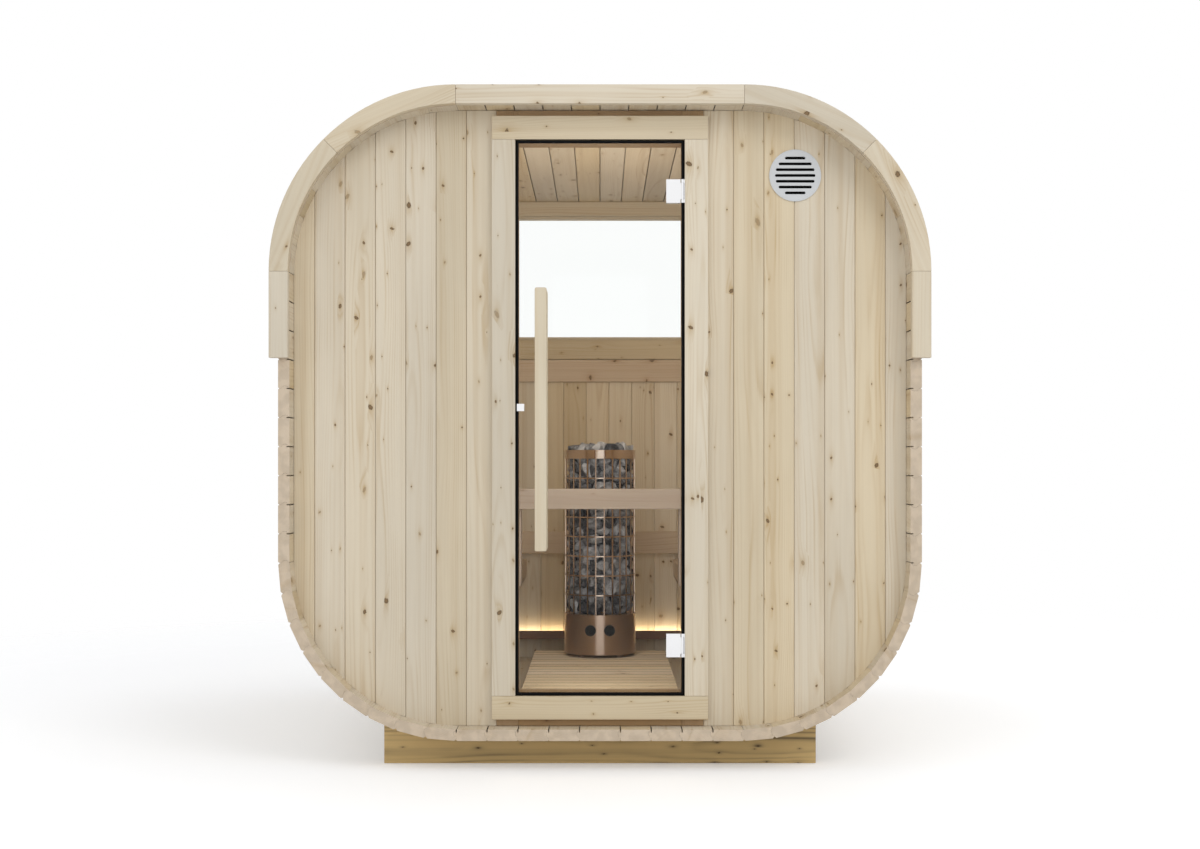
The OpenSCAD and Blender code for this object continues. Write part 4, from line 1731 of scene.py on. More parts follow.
    def build(self) -> list[Piece]:
        """Makes the pane, the handles, the hinge plates and the catch.

        Returns:
            The pieces.
        """
        c = self.cabin
        pieces = [self.pane(), self.rim(), *self.handles()]
        halves = [part for z in self.hinge_z for part in self.hinge_half(c.z(z))]
        plates = soften(joined(halves, "clamp_plates"), 0.0006)
        pieces.append(self.keep(plates, CHROME, "hinge_chrome", "hinge_plates", body="door"))
        y0, y1 = c.y(self.glass_y), c.y(self.glass_y + self.glass_t)
        z0, x0 = c.z(self.handle_at[1] + 0.028), -self.glass_x
        clips = [
            block((x0, y0 - 0.003, z0), (x0 + 0.024, y0, z0 + 0.024)),
            block((x0 + 0.010, y1, z0), (x0 + 0.024, y1 + 0.003, z0 + 0.024)),
        ]
        catch = soften(joined(clips, "glass_catch"), 0.0005)
        pieces.append(self.keep(catch, CHROME, "hinge_chrome", "door_catch", body="door"))
        return pieces


@dataclass
class HingeLeaves(SubAssembly):
    """The frame's half of the two hinges."""

    edge_x: float = 0.274
    leaf_t: float = 0.002
    lug_h: float = 0.011
    pin_r: float = 0.0025
    door: Door = field(default_factory=Door)

    def build(self) -> list[Piece]:
        """Makes a leaf with two lugs and a pin for each hinge.

        Returns:
            The pieces.
        """
        c, d, parts = self.cabin, self.door, []
        x, y = d.pin[0], c.y(d.pin[1])
        for height in d.hinge_z:
            low, high = c.z(height) - d.hinge_h / 2, c.z(height) + d.hinge_h / 2
            leaf = block((self.edge_x - self.leaf_t, y - d.knuckle_r, low), (self.edge_x, c.y(0.0707), high))
            for z in (low, high - self.lug_h):
                cut(
                    leaf,
                    block((x, y - 0.002, z), (self.edge_x - self.leaf_t / 2, y + 0.002, z + self.lug_h)),
                    "UNION",
                )
                cut(leaf, rod((x, y, z + self.lug_h / 2), Axis.Z, d.knuckle_r, self.lug_h, 40), "UNION")
            cut(leaf, rod((x, y, (low + high) / 2), Axis.Z, self.pin_r, d.hinge_h, 32), "UNION")
            parts.append(leaf)
        piece = soften(joined(parts, "hinge_leaf_pair"), 0.0004, 1)
        return [self.keep(piece, CHROME, "hinge_chrome", "hinge_leaves")]


@dataclass
class RearWindow(SubAssembly):
    """The window's frame of four boards with a stop, and its pane."""

    half: float = 0.395
    border: float = 0.060
    sill: float = 0.084
    low: float = 1.425
    high: float = 1.965
    front: float = 0.015
    depth: float = 0.080
    pane_t: float = 0.010

    def build(self) -> list[Piece]:
        """Makes the boards, the stop round the glass and the pane.

        Returns:
            The pieces.
        """
        c = self.cabin
        y0 = c.y(c.length - c.inset - c.wall - self.front)
        y1 = y0 + self.depth
        x, out = self.half, self.half + self.border
        z0, z1 = c.z(self.low), c.z(self.high)
        bottom, top = z0 - self.sill, c.z(c.height - c.stave - FIT)
        head = block((-out, y0, z1), (out, y1, top + c.croze))
        cut(head, block((-1, y0 - 1, top), (1, y0 + self.front, top + 1)))
        boards = [
            head,
            block((-out, y0, bottom), (out, y1, z0)),
            block((-out, y0, z0 + 0.0001), (-x, y1, z1 - 0.0001)),
            block((x, y0, z0 + 0.0001), (out, y1, z1 - 0.0001)),
        ]
        glass_y = c.y(c.length - c.inset - c.wall / 2)
        for y in (glass_y - 0.0143, glass_y + self.pane_t + FIT):
            stop = block((-x + FIT, y, z0 + FIT), (x - FIT, y + 0.014, z1 - FIT))
            boards.append(cut(stop, block((0.014 - x, y - 1, z0 + 0.014), (x - 0.014, y + 1, z1 - 0.014))))
        frame = mark_grain(soften(joined(boards, "window_boards"), 0.0015), 94)
        pieces = [self.keep(frame, JOINERY, "frame_spruce", "window_frame")]
        pane = block((FIT - x, glass_y, z0 + FIT), (x - FIT, glass_y + self.pane_t, z1 - FIT), "window_pane")
        flat_edged(pane, 0.0008)
        pieces.append(self.keep(pane, Glass("window glass"), "clear_glass", "window_glass"))
        return pieces


@dataclass
class Interior(SubAssembly):
    """Benches, brackets, slatted floor, rear planks, light rail and heater guard."""

    bench_z: float = 0.474
    bench_x: float = 0.318
    bench_t: float = 0.028
    apron: float = 0.070
    slat: tuple[float, float, int] = (0.092, 0.010, 6)
    room: tuple[float, float] = (0.165, 1.9097)
    grate: tuple[float, float, float] = (0.524, 0.135, 0.020)
    grate_slats: tuple[int, float] = (16, 0.009)
    heater_y: float = 1.235
    heater_r: float = 0.140
    guard: tuple[float, float, float] = (0.792, 0.078, 1.009)
    nose_low: float = 0.330

    def benches(self) -> list[Piece]:
        """A front board and six slats on each side.

        Returns:
            The pieces.
        """
        c, pieces = self.cabin, []
        y0, y1 = c.y(self.room[0]), c.y(self.room[1])
        wide, gap, count = self.slat
        spans = [(self.bench_x, self.bench_x + self.bench_t, self.bench_z - self.apron)]
        start = self.bench_x + self.bench_t + gap
        spans += [
            (start + k * (wide + gap), start + k * (wide + gap) + wide, self.bench_z - self.bench_t)
            for k in range(count)
        ]
        for side in Side:
            boards = []
            for a, b, z in spans:
                xs = sorted((side.value * a, side.value * b))
                boards.append(block((xs[0], y0, c.z(z)), (xs[1], y1, c.z(self.bench_z))))
            piece = mark_grain(soften(joined(boards, f"bench_slats_{side.word}"), 0.004, 3), 100 + side.value)
            pieces.append(self.keep(piece, ALDER, "bench_wood", f"bench_{side.word}"))
        return pieces

    def brackets(self) -> Piece:
        """Three brackets on each side with a slanting nose.

        Returns:
            The brackets.
        """
        c, t, parts = self.cabin, self.bench_t, []
        nose = self.bench_z - self.apron
        last = self.room[1] - t
        for y in (self.room[0], (self.room[0] + last) / 2, last):
            part = block(
                (self.bench_x, c.y(y), c.z(self.nose_low)), (c.width / 2, c.y(y + t), c.z(self.bench_z - t))
            )
            cut(
                part,
                block(
                    (self.bench_x - 0.1, c.y(y - 0.1), c.z(nose)),
                    (self.bench_x + t, c.y(y + t + 0.1), c.z(self.bench_z)),
                ),
            )
            with editing(part) as _:
                bpy.ops.mesh.select_all(action="SELECT")
                slope = (nose - self.nose_low) / 2
                bpy.ops.mesh.bisect(
                    plane_co=(self.bench_x, 0, c.z(nose)),
                    plane_no=Vector((self.nose_low - nose, 0, -slope)).normalized(),
                    use_fill=True,
                    clear_outer=True,
                )
            cut(part, c.outline(y - 0.1, t + 0.2, -c.stave - 0.003), "INTERSECT")
            parts += [part, copied(part, Matrix.Scale(-1, 4, (1, 0, 0)))]
        piece = mark_grain(soften(joined(parts, "bench_bearers"), 0.002), 110)
        return self.keep(piece, SHADED_ALDER, "rail_wood", "bench_brackets")

    def floor(self) -> Piece:
        """The slatted floor on its bearers.

        Returns:
            The floor.
        """
        c = self.cabin
        width, top, t = self.grate
        count, gap = self.grate_slats
        y0 = self.room[0]
        length = self.heater_y + self.heater_r - y0
        slat = (length - (count - 1) * gap) / count
        parts = []
        for k in range(count):
            y = y0 + k * (slat + gap)
            parts.append(block((-width / 2, c.y(y), c.z(top - t)), (width / 2, c.y(y + slat), c.z(top))))
        for x in (-width / 2 + 0.012, -0.020, width / 2 - 0.052):
            parts.append(
                block((x, c.y(y0), c.z(c.stave)), (x + 0.040, c.y(y0 + length), c.z(top - t - 0.0001)))
            )
        piece = soften(joined(parts, "floor_slats"), 0.0012, 2)
        # Painted shade on the slats' sides and the bearers' ends, which the finish darkens as though in shadow.
        mark_seams(piece, Axis.Y)
        mark_grain(piece, 120)
        return self.keep(piece, SLAT, "bench_wood", "floor_grate")

    def guard_rail(self) -> Piece:
        """The board across the heater and its two uprights.

        Returns:
            The rail.
        """
        c, t = self.cabin, self.bench_t
        top, tall, y = self.guard
        parts = [block((-self.bench_x, c.y(y), c.z(top - tall)), (self.bench_x, c.y(y + t), c.z(top)))]
        for side in Side:
            xs = sorted((side.value * self.bench_x, side.value * (self.bench_x - 0.017)))
            parts.append(
                block(
                    (xs[0], c.y(y + t), c.z(self.bench_z - self.apron + 0.014)),
                    (xs[1], c.y(y + t + 0.060), c.z(top)),
                )
            )
        piece = mark_grain(soften(joined(parts, "heater_rail"), 0.003, 3), 130)
        return self.keep(piece, SHADED_ALDER, "bench_wood", "heater_guard")

    def rear(self) -> list[Piece]:
        """The planks on the rear wall, the light rail and its strip.

        Returns:
            The pieces.
        """
        c, t = self.cabin, self.bench_t
        back = c.y(c.length - c.inset - c.wall)
        high = c.z(1.338)
        planks = [block((-0.700, back - t, z), (0.700, back, z + 0.095)) for z in (high - 0.095, c.z(0.499))]
        boards = mark_grain(soften(joined(planks, "rear_planks"), 0.002), 140)
        self.keep(boards, INSIDE, "inside_spruce", "rear_boards")
        top = self.grate[1]
        rail = block((-0.740, back - 0.045, c.z(top - 0.005)), (0.740, back, c.z(top + 0.030)), "lamp_rail")
        cut(rail, block((-0.735, back - 0.033, c.z(top + 0.018)), (0.735, back + 0.1, c.z(top + 0.1))))
        mark_grain(soften(rail, 0.0015), 150)
        self.keep(rail, TOASTED, "rail_wood", "light_rail")
        strip = soften(
            block(
                (-0.730, back - 0.028, c.z(top + 0.018)), (0.730, back - 0.008, c.z(top + 0.024)), "lamp_strip"
            ),
            0.002,
        )
        self.keep(strip, Glow("warm light"), "light", "light_strip")
        return [boards, rail, strip]

    def build(self) -> list[Piece]:
        """Makes everything inside except the heater."""
        return [*self.benches(), self.brackets(), self.floor(), self.guard_rail(), *self.rear()]


@dataclass
class Heater(SubAssembly):
    """The column heater: drum, knobs, cage of bars and hoops, and stones."""

    y: float = 1.235
    radius: float = 0.140
    feet_z: float = 0.135
    foot: float = 0.012
    base: float = 0.155
    height: float = 0.806
    band: float = 0.034
    bars: int = 26
    hoops: int = 7
    bar: tuple[float, float] = (0.006, 0.003)
    seed: int = 8

    def at(self, z: float) -> Vector:
        """A point on the heater's middle line."""
        return Vector((0, self.cabin.y(self.y), self.cabin.z(z)))

    def drum(self) -> Piece:
        """The closed base with a rolled foot, small screws and four feet.

        Returns:
            The drum.
        """
        z0, z1 = self.feet_z + self.foot, self.feet_z + self.foot + self.base
        body = rod(self.at((z0 + z1) / 2), Axis.Z, self.radius, self.base, 128)
        low = self.at(z0).z
        with editing(body) as mesh:
            pick(body, mesh.faces, lambda m: m.z < low + 1e-5)
            bpy.ops.mesh.inset(thickness=0.004, depth=0)
            bpy.ops.mesh.inset(thickness=0.006, depth=-0.004)
        with editing(body) as mesh:
            high = self.at(z1).z
            pick(body, mesh.faces, lambda m: m.z > high - 1e-5)
            bpy.ops.mesh.inset(thickness=0.0015, depth=0)
            bpy.ops.mesh.inset(thickness=0.002, depth=-0.003)
        parts = [soften(body, 0.0008, 2, 40)]
        for k in range(4):
            turn = math.radians(45 + 90 * k)
            x, y = (self.radius - 0.036) * math.cos(turn), (self.radius - 0.036) * math.sin(turn)
            for r, z, h in ((0.014, 0.002, 0.004), (0.006, 0.008, 0.008)):
                parts.append(
                    soften(rod(self.at(self.feet_z + z) + Vector((x, y, 0)), Axis.Z, r, h, 28), 0.0006, 1)
                )
        for x, z, r in ((-0.085, 0.62, 0.0022), (0.085, 0.62, 0.0022), (0, 0.965, 0.0018)):
            y = -math.sqrt((self.radius - 0.0002) ** 2 - x * x)
            head = rod(self.at(z0 + self.base * z) + Vector((x, y, 0)), Axis.Y, r, 0.002, 16)
            parts.append(head)
        return self.keep(joined(parts, "heater_drum"), DRUM_STEEL, "heater_steel", "heater_base")

    def knobs(self) -> Piece:
        """Two dials with a raised grip.

        Returns:
            The dials.
        """
        parts = []
        z = self.at(self.feet_z + self.foot + self.base * 0.62)
        face = math.sqrt(self.radius**2 - 0.037**2)
        for x in (-0.037, 0.037):
            skirt = rod(z + Vector((x, -face - 0.002, 0)), Axis.Y, 0.021, 0.016, 48)
            tool = rod(z, Axis.Z, self.radius, 0.2, 128)
            parts.append(soften(cut(skirt, tool), 0.0012, 3))
            grip = block(
                z + Vector((x - 0.003, -face - 0.014, -0.017)), z + Vector((x + 0.003, -face - 0.0095, 0.017))
            )
            parts.append(soften(grip, 0.0012, 2))
        piece = joined(parts, "heater_dials")
        return self.keep(
            piece, Coat("knob plastic", (0.006, 0.006, 0.006), 0.5, shine=0.2), "knob_black", "heater_knobs"
        )

    def hoop(self, inner: float, outer: float, z: float, tall: float) -> Piece:
        """A flat steel hoop, its inside cut away."""
        piece = rod(self.at(z), Axis.Z, outer, tall, 112)
        return cut(piece, rod(self.at(z), Axis.Z, inner, tall + 0.02, 112))

    def cage(self) -> Piece:
        """The top band, the hoops and the upright bars.

        Returns:
            The cage.
        """
        z1 = self.feet_z + self.foot + self.base
        top = self.feet_z + self.height
        low = top - self.band
        parts = [
            soften(self.hoop(self.radius - 0.002, self.radius, top - self.band / 2, self.band), 0.0006, 2, 40)
        ]
        for k in range(1, self.hoops + 1):
            z = z1 + k * (low - z1) / (self.hoops + 1)
            parts.append(soften(self.hoop(self.radius - 0.003, self.radius, z, 0.005), 0.0005, 1, 40))
        wide, thick = self.bar
        r = self.radius - 0.0045
        bar = block(
            (r - thick / 2, -wide / 2, self.at(z1 - 0.002).z), (r + thick / 2, wide / 2, self.at(low + 0.004).z)
        )
        soften(bar, 0.0005, 1)
        centre = self.at(0)
        for k in range(self.bars):
            turn = Matrix.Rotation(math.radians((k + 0.5) * 360 / self.bars - 90), 4, "Z")
            parts.append(copied(bar, Matrix.Translation((centre.x, centre.y, 0)) @ turn))
        discard(bar)
        return self.keep(joined(parts, "heater_bars"), CAGE_STEEL, "heater_steel", "heater_cage")

    def pebble(self, number: int) -> Piece:
        """A split stone with a few flat faces, about the origin, 1 across.

        Args:
            number: Which of the patterns it is.

        Returns:
            The stone.
        """
        dice = random.Random(200 + number)
        bpy.ops.object.select_all(action="DESELECT")
        bpy.ops.mesh.primitive_ico_sphere_add(subdivisions=2, radius=0.62)
        piece = bpy.context.object
        piece.scale = (1.0, dice.uniform(0.65, 0.85), dice.uniform(0.55, 0.75))
        settle(piece)
        with editing(piece, "VERT"):
            for _ in range(11):
                way = Vector([dice.gauss(0, 1) for _ in range(3)]).normalized()
                bpy.ops.mesh.select_all(action="SELECT")
                bpy.ops.mesh.bisect(
                    plane_co=way * dice.uniform(0.22, 0.36), plane_no=way, use_fill=True, clear_outer=True
                )
            bpy.ops.mesh.select_all(action="SELECT")
            bpy.ops.mesh.remove_doubles(threshold=0.05)
            bpy.ops.mesh.normals_make_consistent(inside=False)
        return soften(piece, 0.02, 1, 20)

    def stones(self) -> Piece:
        """Stones stacked in rings to the top, heaped over the band.

        Returns:
            The stones.
        """
        dice = random.Random(self.seed)
        kinds = [self.pebble(n) for n in range(9)]
        floor = self.feet_z + self.foot + self.base
        top = self.feet_z + self.height
        parts = []
        layers = 19
        for layer in range(layers):
            z = floor + 0.022 + (top - floor - 0.030) * layer / (layers - 1)
            for ring, count in ((0.108, 15), (0.066, 9), (0.022, 3)):
                for k in range(count):
                    turn = 2 * math.pi * (k + 0.5 * (layer % 2) + dice.uniform(-0.25, 0.25)) / count
                    parts.append(
                        self.stone(
                            kinds,
                            dice,
                            ring + dice.uniform(-0.006, 0.008),
                            turn,
                            z + dice.uniform(-0.009, 0.009),
                        )
                    )
        for ring, count, rise in ((0.100, 11, 0.008), (0.068, 8, 0.018), (0.030, 4, 0.024)):
            for k in range(count):
                turn = 2 * math.pi * (k + dice.uniform(-0.3, 0.3)) / count
                parts.append(self.stone(kinds, dice, ring, turn, top + rise * dice.uniform(0.2, 1.0) - 0.010))
        discard(*kinds)
        piece = joined(parts, "heater_rocks")
        mark_grain(piece, 300)
        return self.keep(piece, Rock("olivine"), "heater_stone", "heater_stones")

    def stone(self, kinds: Sequence[Piece], dice: random.Random, ring: float, turn: float, z: float) -> Piece:
        """One stone, turned at random, held inside the bars and under the heap's top.

        Args:
            kinds: The patterns.
            dice: The source of chance.
            ring: Its distance from the heater's middle.
            turn: Its angle round it.
            z: Its height above the cabin floor.

        Returns:
            The stone.
        """
        size = dice.uniform(0.056, 0.078)
        spot = self.at(z) + Vector((ring * math.cos(turn), ring * math.sin(turn), 0))
        turned = Euler([dice.uniform(0, 2 * math.pi) for _ in range(3)]).to_matrix().to_4x4()
        piece = copied(dice.choice(kinds), Matrix.Translation(spot) @ turned @ Matrix.Scale(size, 4))
        centre, room = self.at(0), self.radius - 0.0075
        low = self.at(self.feet_z + self.foot + self.base).z
        high = self.at(self.feet_z + self.height + 0.033).z
        shift = Vector((0, 0, 0))
        for vertex in piece.data.vertices:
            flat = Vector((vertex.co.x - centre.x, vertex.co.y - centre.y, 0))
            if flat.length > room and flat.length - room > shift.length:
                shift = -flat.normalized() * (flat.length - room)
        heights = [vertex.co.z for vertex in piece.data.vertices]
        shift.z = max(0.0, low - min(heights)) + min(0.0, high - max(heights))
        piece.data.transform(Matrix.Translation(shift))
        return piece

    def build(self) -> list[Piece]:
        """Makes the heater from the floor up."""
        return [self.drum(), self.knobs(), self.cage(), self.stones()]


@dataclass
class Vent(SubAssembly):
    """The round wall vent with seven slots and its sleeve."""

    x: float = 0.633
    z: float = 1.822
    radius: float = 0.084
    thick: float = 0.004
    pitch: float = 0.0188
    slot: float = 0.009
    duct: float = 0.0695

    def build(self) -> list[Piece]:
        """Makes the cover, cuts its slots, adds the sleeve and a black disc of painted shade behind the slots.

        Returns:
            The pieces.
        """
        c = self.cabin
        y, z = c.y(c.inset), c.z(self.z)
        cover = rod((self.x, y - self.thick / 2, z), Axis.Y, self.radius, self.thick, 112)
        with editing(cover) as mesh:
            pick(cover, mesh.faces, lambda m: m.y < y - self.thick + 1e-5)
            bpy.ops.mesh.inset(thickness=0.0035, depth=0)
            bpy.ops.mesh.inset(thickness=0.0008, depth=-0.0008)
        reach = self.radius - 0.0185
        for k in range(-3, 4):
            half = math.sqrt(reach**2 - (k * self.pitch) ** 2)
            tool = block(
                (self.x - half, y - 0.02, z + k * self.pitch - self.slot / 2),
                (self.x + half, y + 0.02, z + k * self.pitch + self.slot / 2),
            )
            with editing(tool, "EDGE") as mesh:
                pick(tool, mesh.edges, lambda m: abs(abs(m.x - self.x) - half) < 1e-5 and abs(m.y - y) < 1e-5)
                bpy.ops.mesh.bevel(offset=self.slot / 2 - 1e-5, segments=8, affect="EDGES")
            cut(cover, tool)
        soften(cover, 0.0006, 2, 40)
        sleeve = rod((self.x, y + 0.010, z), Axis.Y, self.duct, 0.020, 96)
        cut(sleeve, rod((self.x, y + 0.010, z), Axis.Y, self.duct - 0.002, 0.1, 96))
        piece = smooth(joined([cover, sleeve], "vent_cover"))
        self.keep(piece, Coat("satin aluminium paint", (0.60, 0.615, 0.625), 0.38), "vent_metal", "vent_grille")
        # A black disc in the duct behind the slots, so that they read dark: painted shade.
        screen = rod((self.x, y + 0.014, z), Axis.Y, self.duct - 0.0022, 0.001, 96)
        screen.name = "vent_screen"
        return [piece, self.keep(screen, SEAL, "seal_black")]


@dataclass
class Bands(SubAssembly):
    """Two steel bands round the shell, each drawn tight by a rod."""

    depth: tuple[float, float] = (0.300, 1.700)
    width: float = 0.030
    thick: float = 0.0012
    air: float = 0.0002
    rod_angle: float = -33.5
    rod_l: float = 0.232
    rod_r: float = 0.004
    barrel_r: float = 0.008

    def strap(self, y: float) -> Piece:
        """The band from one barrel nut round to the other.

        Args:
            y: Where it lies along the cabin.

        Returns:
            The strap.
        """
        c = self.cabin
        r0 = c.corner + self.air
        r1 = r0 + self.thick
        x, turn = c.flat_w / 2, math.radians(90)
        half = math.degrees(math.atan2(self.rod_l / 2 - 0.014, r1))
        first, last = -self.rod_angle - half, 90 + self.rod_angle - half
        legs = [
            Turn((x, 0, c.low_z), -math.radians(first), 8),
            Go((0, 0, c.flat_h)),
            Turn((x, 0, c.high_z), -turn, 24),
            Go((-c.flat_w, 0, 0)),
            Turn((-x, 0, c.high_z), -turn, 24),
            Go((0, 0, -c.flat_h)),
            Turn((-x, 0, c.low_z), -turn, 24),
            Go((c.flat_w, 0, 0)),
            Turn((x, 0, c.low_z), -math.radians(last), 8),
        ]
        start = sweep((x + r0, y, c.low_z), (x + r1, y + self.width, c.low_z), legs[1:], "strap")
        cap = sweep(
            (x + r0, y, c.low_z),
            (x + r1, y + self.width, c.low_z),
            [Turn((x, 0, c.low_z), math.radians(first), 8)],
            "cap",
        )
        return joined([start, cap], "strap")

    def tension(self, y: float) -> list[Piece]:
        """The threaded rod, its barrel nuts and the strap's loops.

        Args:
            y: Where its band lies along the cabin.

        Returns:
            The pieces.
        """
        c = self.cabin
        centre = Vector((c.flat_w / 2, y + self.width / 2, c.low_z))
        out = c.corner + self.air + self.thick + self.rod_r + 0.0006
        parts = [rod((out, 0, 0), Axis.Z, self.rod_r, self.rod_l, 20)]
        for s in (-1, 1):
            z = s * (self.rod_l / 2 - 0.014)
            parts.append(rod((out, 0, z), Axis.Y, self.barrel_r, self.width + 0.006, 28))
            parts.append(rod((out, 0, z + s * 0.0115), Axis.Z, 0.0075, 0.0065, 6))
        place = Matrix.Translation(centre) @ Matrix.Rotation(-math.radians(self.rod_angle), 4, "Y")
        for part in parts:
            part.data.transform(place)
            soften(part, 0.0005, 1, 40)
        return parts

    def build(self) -> list[Piece]:
        """Makes both bands.

        Returns:
            The pieces.
        """
        parts = []
        for depth in self.depth:
            y = self.cabin.y(depth)
            parts += [smooth(self.strap(y)), *self.tension(y)]
        return [self.keep(joined(parts, "tension_bands"), BAND_STEEL, "band_steel", "bands")]


@dataclass
class Roof(SubAssembly):
    """Boarding over the upper shell, covered with courses of felt shingles."""

    foot: float = 1.247
    gap: float = 0.002
    deck: float = 0.016
    sheet: float = 0.0024
    drip: tuple[float, float, float] = (0.027, 0.008, 0.0012)
    reveal: float = 0.142
    tabs: int = 6
    slit: float = 0.007

    def path(self, s: float, out: float) -> tuple[Vector, Vector]:
        """A point over the shell and its outward direction.

        Args:
            s: The distance from the ridge, along the staves' outside.
            out: The height above the staves' outside.

        Returns:
            The point on the right side, and the normal there.
        """
        c = self.cabin
        flat, arc = c.flat_w / 2, c.corner * math.pi / 2
        if s <= flat:
            normal, foot = Vector((0, 0, 1)), Vector((s, 0, c.z(c.height)))
        elif s <= flat + arc:
            turn = (s - flat) / c.corner
            normal = Vector((math.sin(turn), 0, math.cos(turn)))
            foot = Vector((flat, 0, c.high_z)) + normal * c.corner
        else:
            normal = Vector((1, 0, 0))
            foot = Vector((c.width / 2, 0, c.high_z - (s - flat - arc)))
        return foot + normal * out, normal

    def reach(self) -> float:
        """The length of one side of the roof, from the ridge to its foot."""
        c = self.cabin
        return c.flat_w / 2 + c.corner * math.pi / 2 + c.high_z - c.z(self.foot)

    def tab(self, width: float) -> Piece:
        """A tab lying flat, its top edge at 0 along X and its face up.

        Args:
            width: Its width.

        Returns:
            The tab.
        """
        piece = block((0, 0, 0), (self.reveal + 0.045, width, self.sheet))
        with editing(piece, "EDGE") as mesh:
            pick(piece, mesh.edges, lambda m: m.x > self.reveal + 0.04 and abs(m.z - self.sheet / 2) < 1e-5)
            bpy.ops.mesh.bevel(offset=0.004, segments=2, affect="EDGES")
        with editing(piece) as mesh:
            for k in range(1, 8):
                bpy.ops.mesh.select_all(action="SELECT")
                bpy.ops.mesh.bisect(plane_co=((self.reveal + 0.045) * k / 8, 0, 0), plane_no=(1, 0, 0))
        return piece

    def courses(self, side: Side) -> Piece:
        """All the tabs of one side, laid from the foot up to the ridge.

        Args:
            side: The side of the roof.

        Returns:
            The shingles.
        """
        c = self.cabin
        reach = self.reach()
        count = math.ceil((reach - 0.06) / self.reveal)
        width = c.length / self.tabs
        whole, half = self.tab(width - self.slit), self.tab(width / 2 - self.slit)
        dice = random.Random(500)
        parts = []
        for row in range(count):
            low = reach - self.drip[1] - row * self.reveal
            spans = [(k * width, whole) for k in range(self.tabs)]
            if row % 2:
                spans = [
                    (0, half),
                    *((width * (k + 0.5), whole) for k in range(self.tabs - 1)),
                    (c.length - width / 2, half),
                ]
            for y, pattern in spans:
                drop = dice.uniform(-0.0012, 0.0)
                tab = copied(pattern, Matrix.Translation((0, c.y(y) + self.slit / 2, 0)))
                for vertex in tab.data.vertices:
                    s, y_at, up = vertex.co
                    lean = s / (self.reveal + 0.045)
                    place, _ = self.path(
                        max(low - (self.reveal + 0.045) + s + drop, 0.0),
                        self.gap + self.deck + 0.0004 + up + lean * (self.sheet + 0.0006),
                    )
                    vertex.co = (side.value * place.x, y_at, place.z)
                if side is Side.LEFT:
                    tab.data.flip_normals()
                parts.append(tab)
        discard(whole, half)
        piece = joined(parts, f"shingles_{side.word}")
        return mark_grain(smooth(piece), 510 + side.value)

    def lining(self, side: Side, low: float, high: float, name: str) -> Piece:
        """A shell over one side, between two heights above the staves.

        Args:
            side: The side of the roof.
            low: Where it starts along the path.
            high: Where it ends.
            name: Its name.

        Returns:
            The lining.
        """
        c = self.cabin
        inner, s = c.width / 2, side.value
        xs = sorted((s * (inner + low), s * (inner + high)))
        legs = [
            Go((0, 0, c.high_z - c.z(self.foot))),
            Turn((s * c.flat_w / 2, 0, c.high_z), -s * math.radians(90), 28),
            Go((-s * c.flat_w / 2, 0, 0)),
        ]
        return sweep((xs[0], c.y(0), c.z(self.foot)), (xs[1], c.y(c.length), c.z(self.foot)), legs, name)

    def drip_edge(self) -> Piece:
        """A folded strip along each foot, its lip turned down clear of the staves.

        Returns:
            The edge.
        """
        c, (out, tall, thick) = self.cabin, self.drip
        x0, x1 = c.width / 2 + self.gap + self.deck, c.width / 2 + self.gap + out
        z0, z1 = c.z(self.foot), c.z(self.foot) + tall
        parts = []
        for side in Side:
            for a, b, low in ((x0, x1, z1 - thick), (x1 - thick, x1, z0), (x0, x0 + thick, z1 - thick)):
                high = z1 + 0.030 if b - a == thick and a == x0 else z1
                xs = sorted((side.value * a, side.value * b))
                parts.append(block((xs[0], c.y(0), low), (xs[1], c.y(c.length), high)))
        piece = soften(joined(parts, "drip_edge"), 0.0003, 1)
        return self.keep(piece, Coat("dark sheet metal", (0.030, 0.031, 0.033), 0.4), "roofing")

    def build(self) -> list[Piece]:
        """Makes both sides, the drip edge and the ridge strip.

        Returns:
            The pieces.
        """
        c, pieces = self.cabin, []
        felt = Granules("slate granules")
        for side in Side:
            level = self.gap + self.deck
            deck = smooth(self.lining(side, self.gap, level, f"boarding_{side.word}"))
            mark_grain(deck, 520, lambda _: Axis.Y.vector)
            pieces.append(self.keep(deck, SPRUCE, "wall_spruce"))
            under = smooth(self.lining(side, level + 0.0001, level + 0.0003, f"underlay_{side.word}"))
            pieces.append(self.keep(under, Coat("bitumen underlay", (0.022, 0.022, 0.024), 0.85), "roofing"))
            cover = self.courses(side)
            nodes = [f"roof_{side.word}"] + (["roof_top"] if side is Side.RIGHT else [])
            pieces.append(self.keep(cover, felt, "roofing", *nodes))
        pieces.append(self.drip_edge())
        top = c.z(c.height) + self.gap + self.deck + 2 * self.sheet + 0.0008
        caps = []
        for k in range(14):
            y = c.y(c.length * k / 14)
            cap = block((-0.125, y + 0.0005, top - 0.0002), (0.125, y + c.length / 14 - 0.0005, top + 0.0011))
            caps.append(cap)
        ridge = mark_grain(joined(caps, "ridge_strip"), 530)
        pieces.append(self.keep(ridge, felt, "roofing"))
        return pieces


@dataclass
class Cradles(SubAssembly):
    """Two boards on edge, hollowed to the shell, that carry the cabin."""

    width: float = 1.420
    thick: float = 0.045
    depth: float = 0.150

    def build(self) -> list[Piece]:
        """Makes the front and the rear cradle.

        Returns:
            The pieces.
        """
        c, parts = self.cabin, []
        for depth in (self.depth, c.length - self.depth - self.thick):
            piece = block(
                (-self.width / 2, c.y(depth), 0), (self.width / 2, c.y(depth + self.thick), c.z(c.corner / 4))
            )
            parts.append(cut(piece, c.outline(depth - 0.1, self.thick + 0.2, 0.0)))
        piece = mark_grain(soften(joined(parts, "cradle_boards"), 0.0015), 160, depth=(0.03, 0.06))
        return [self.keep(piece, TREATED, "cradle_wood", "cradles")]


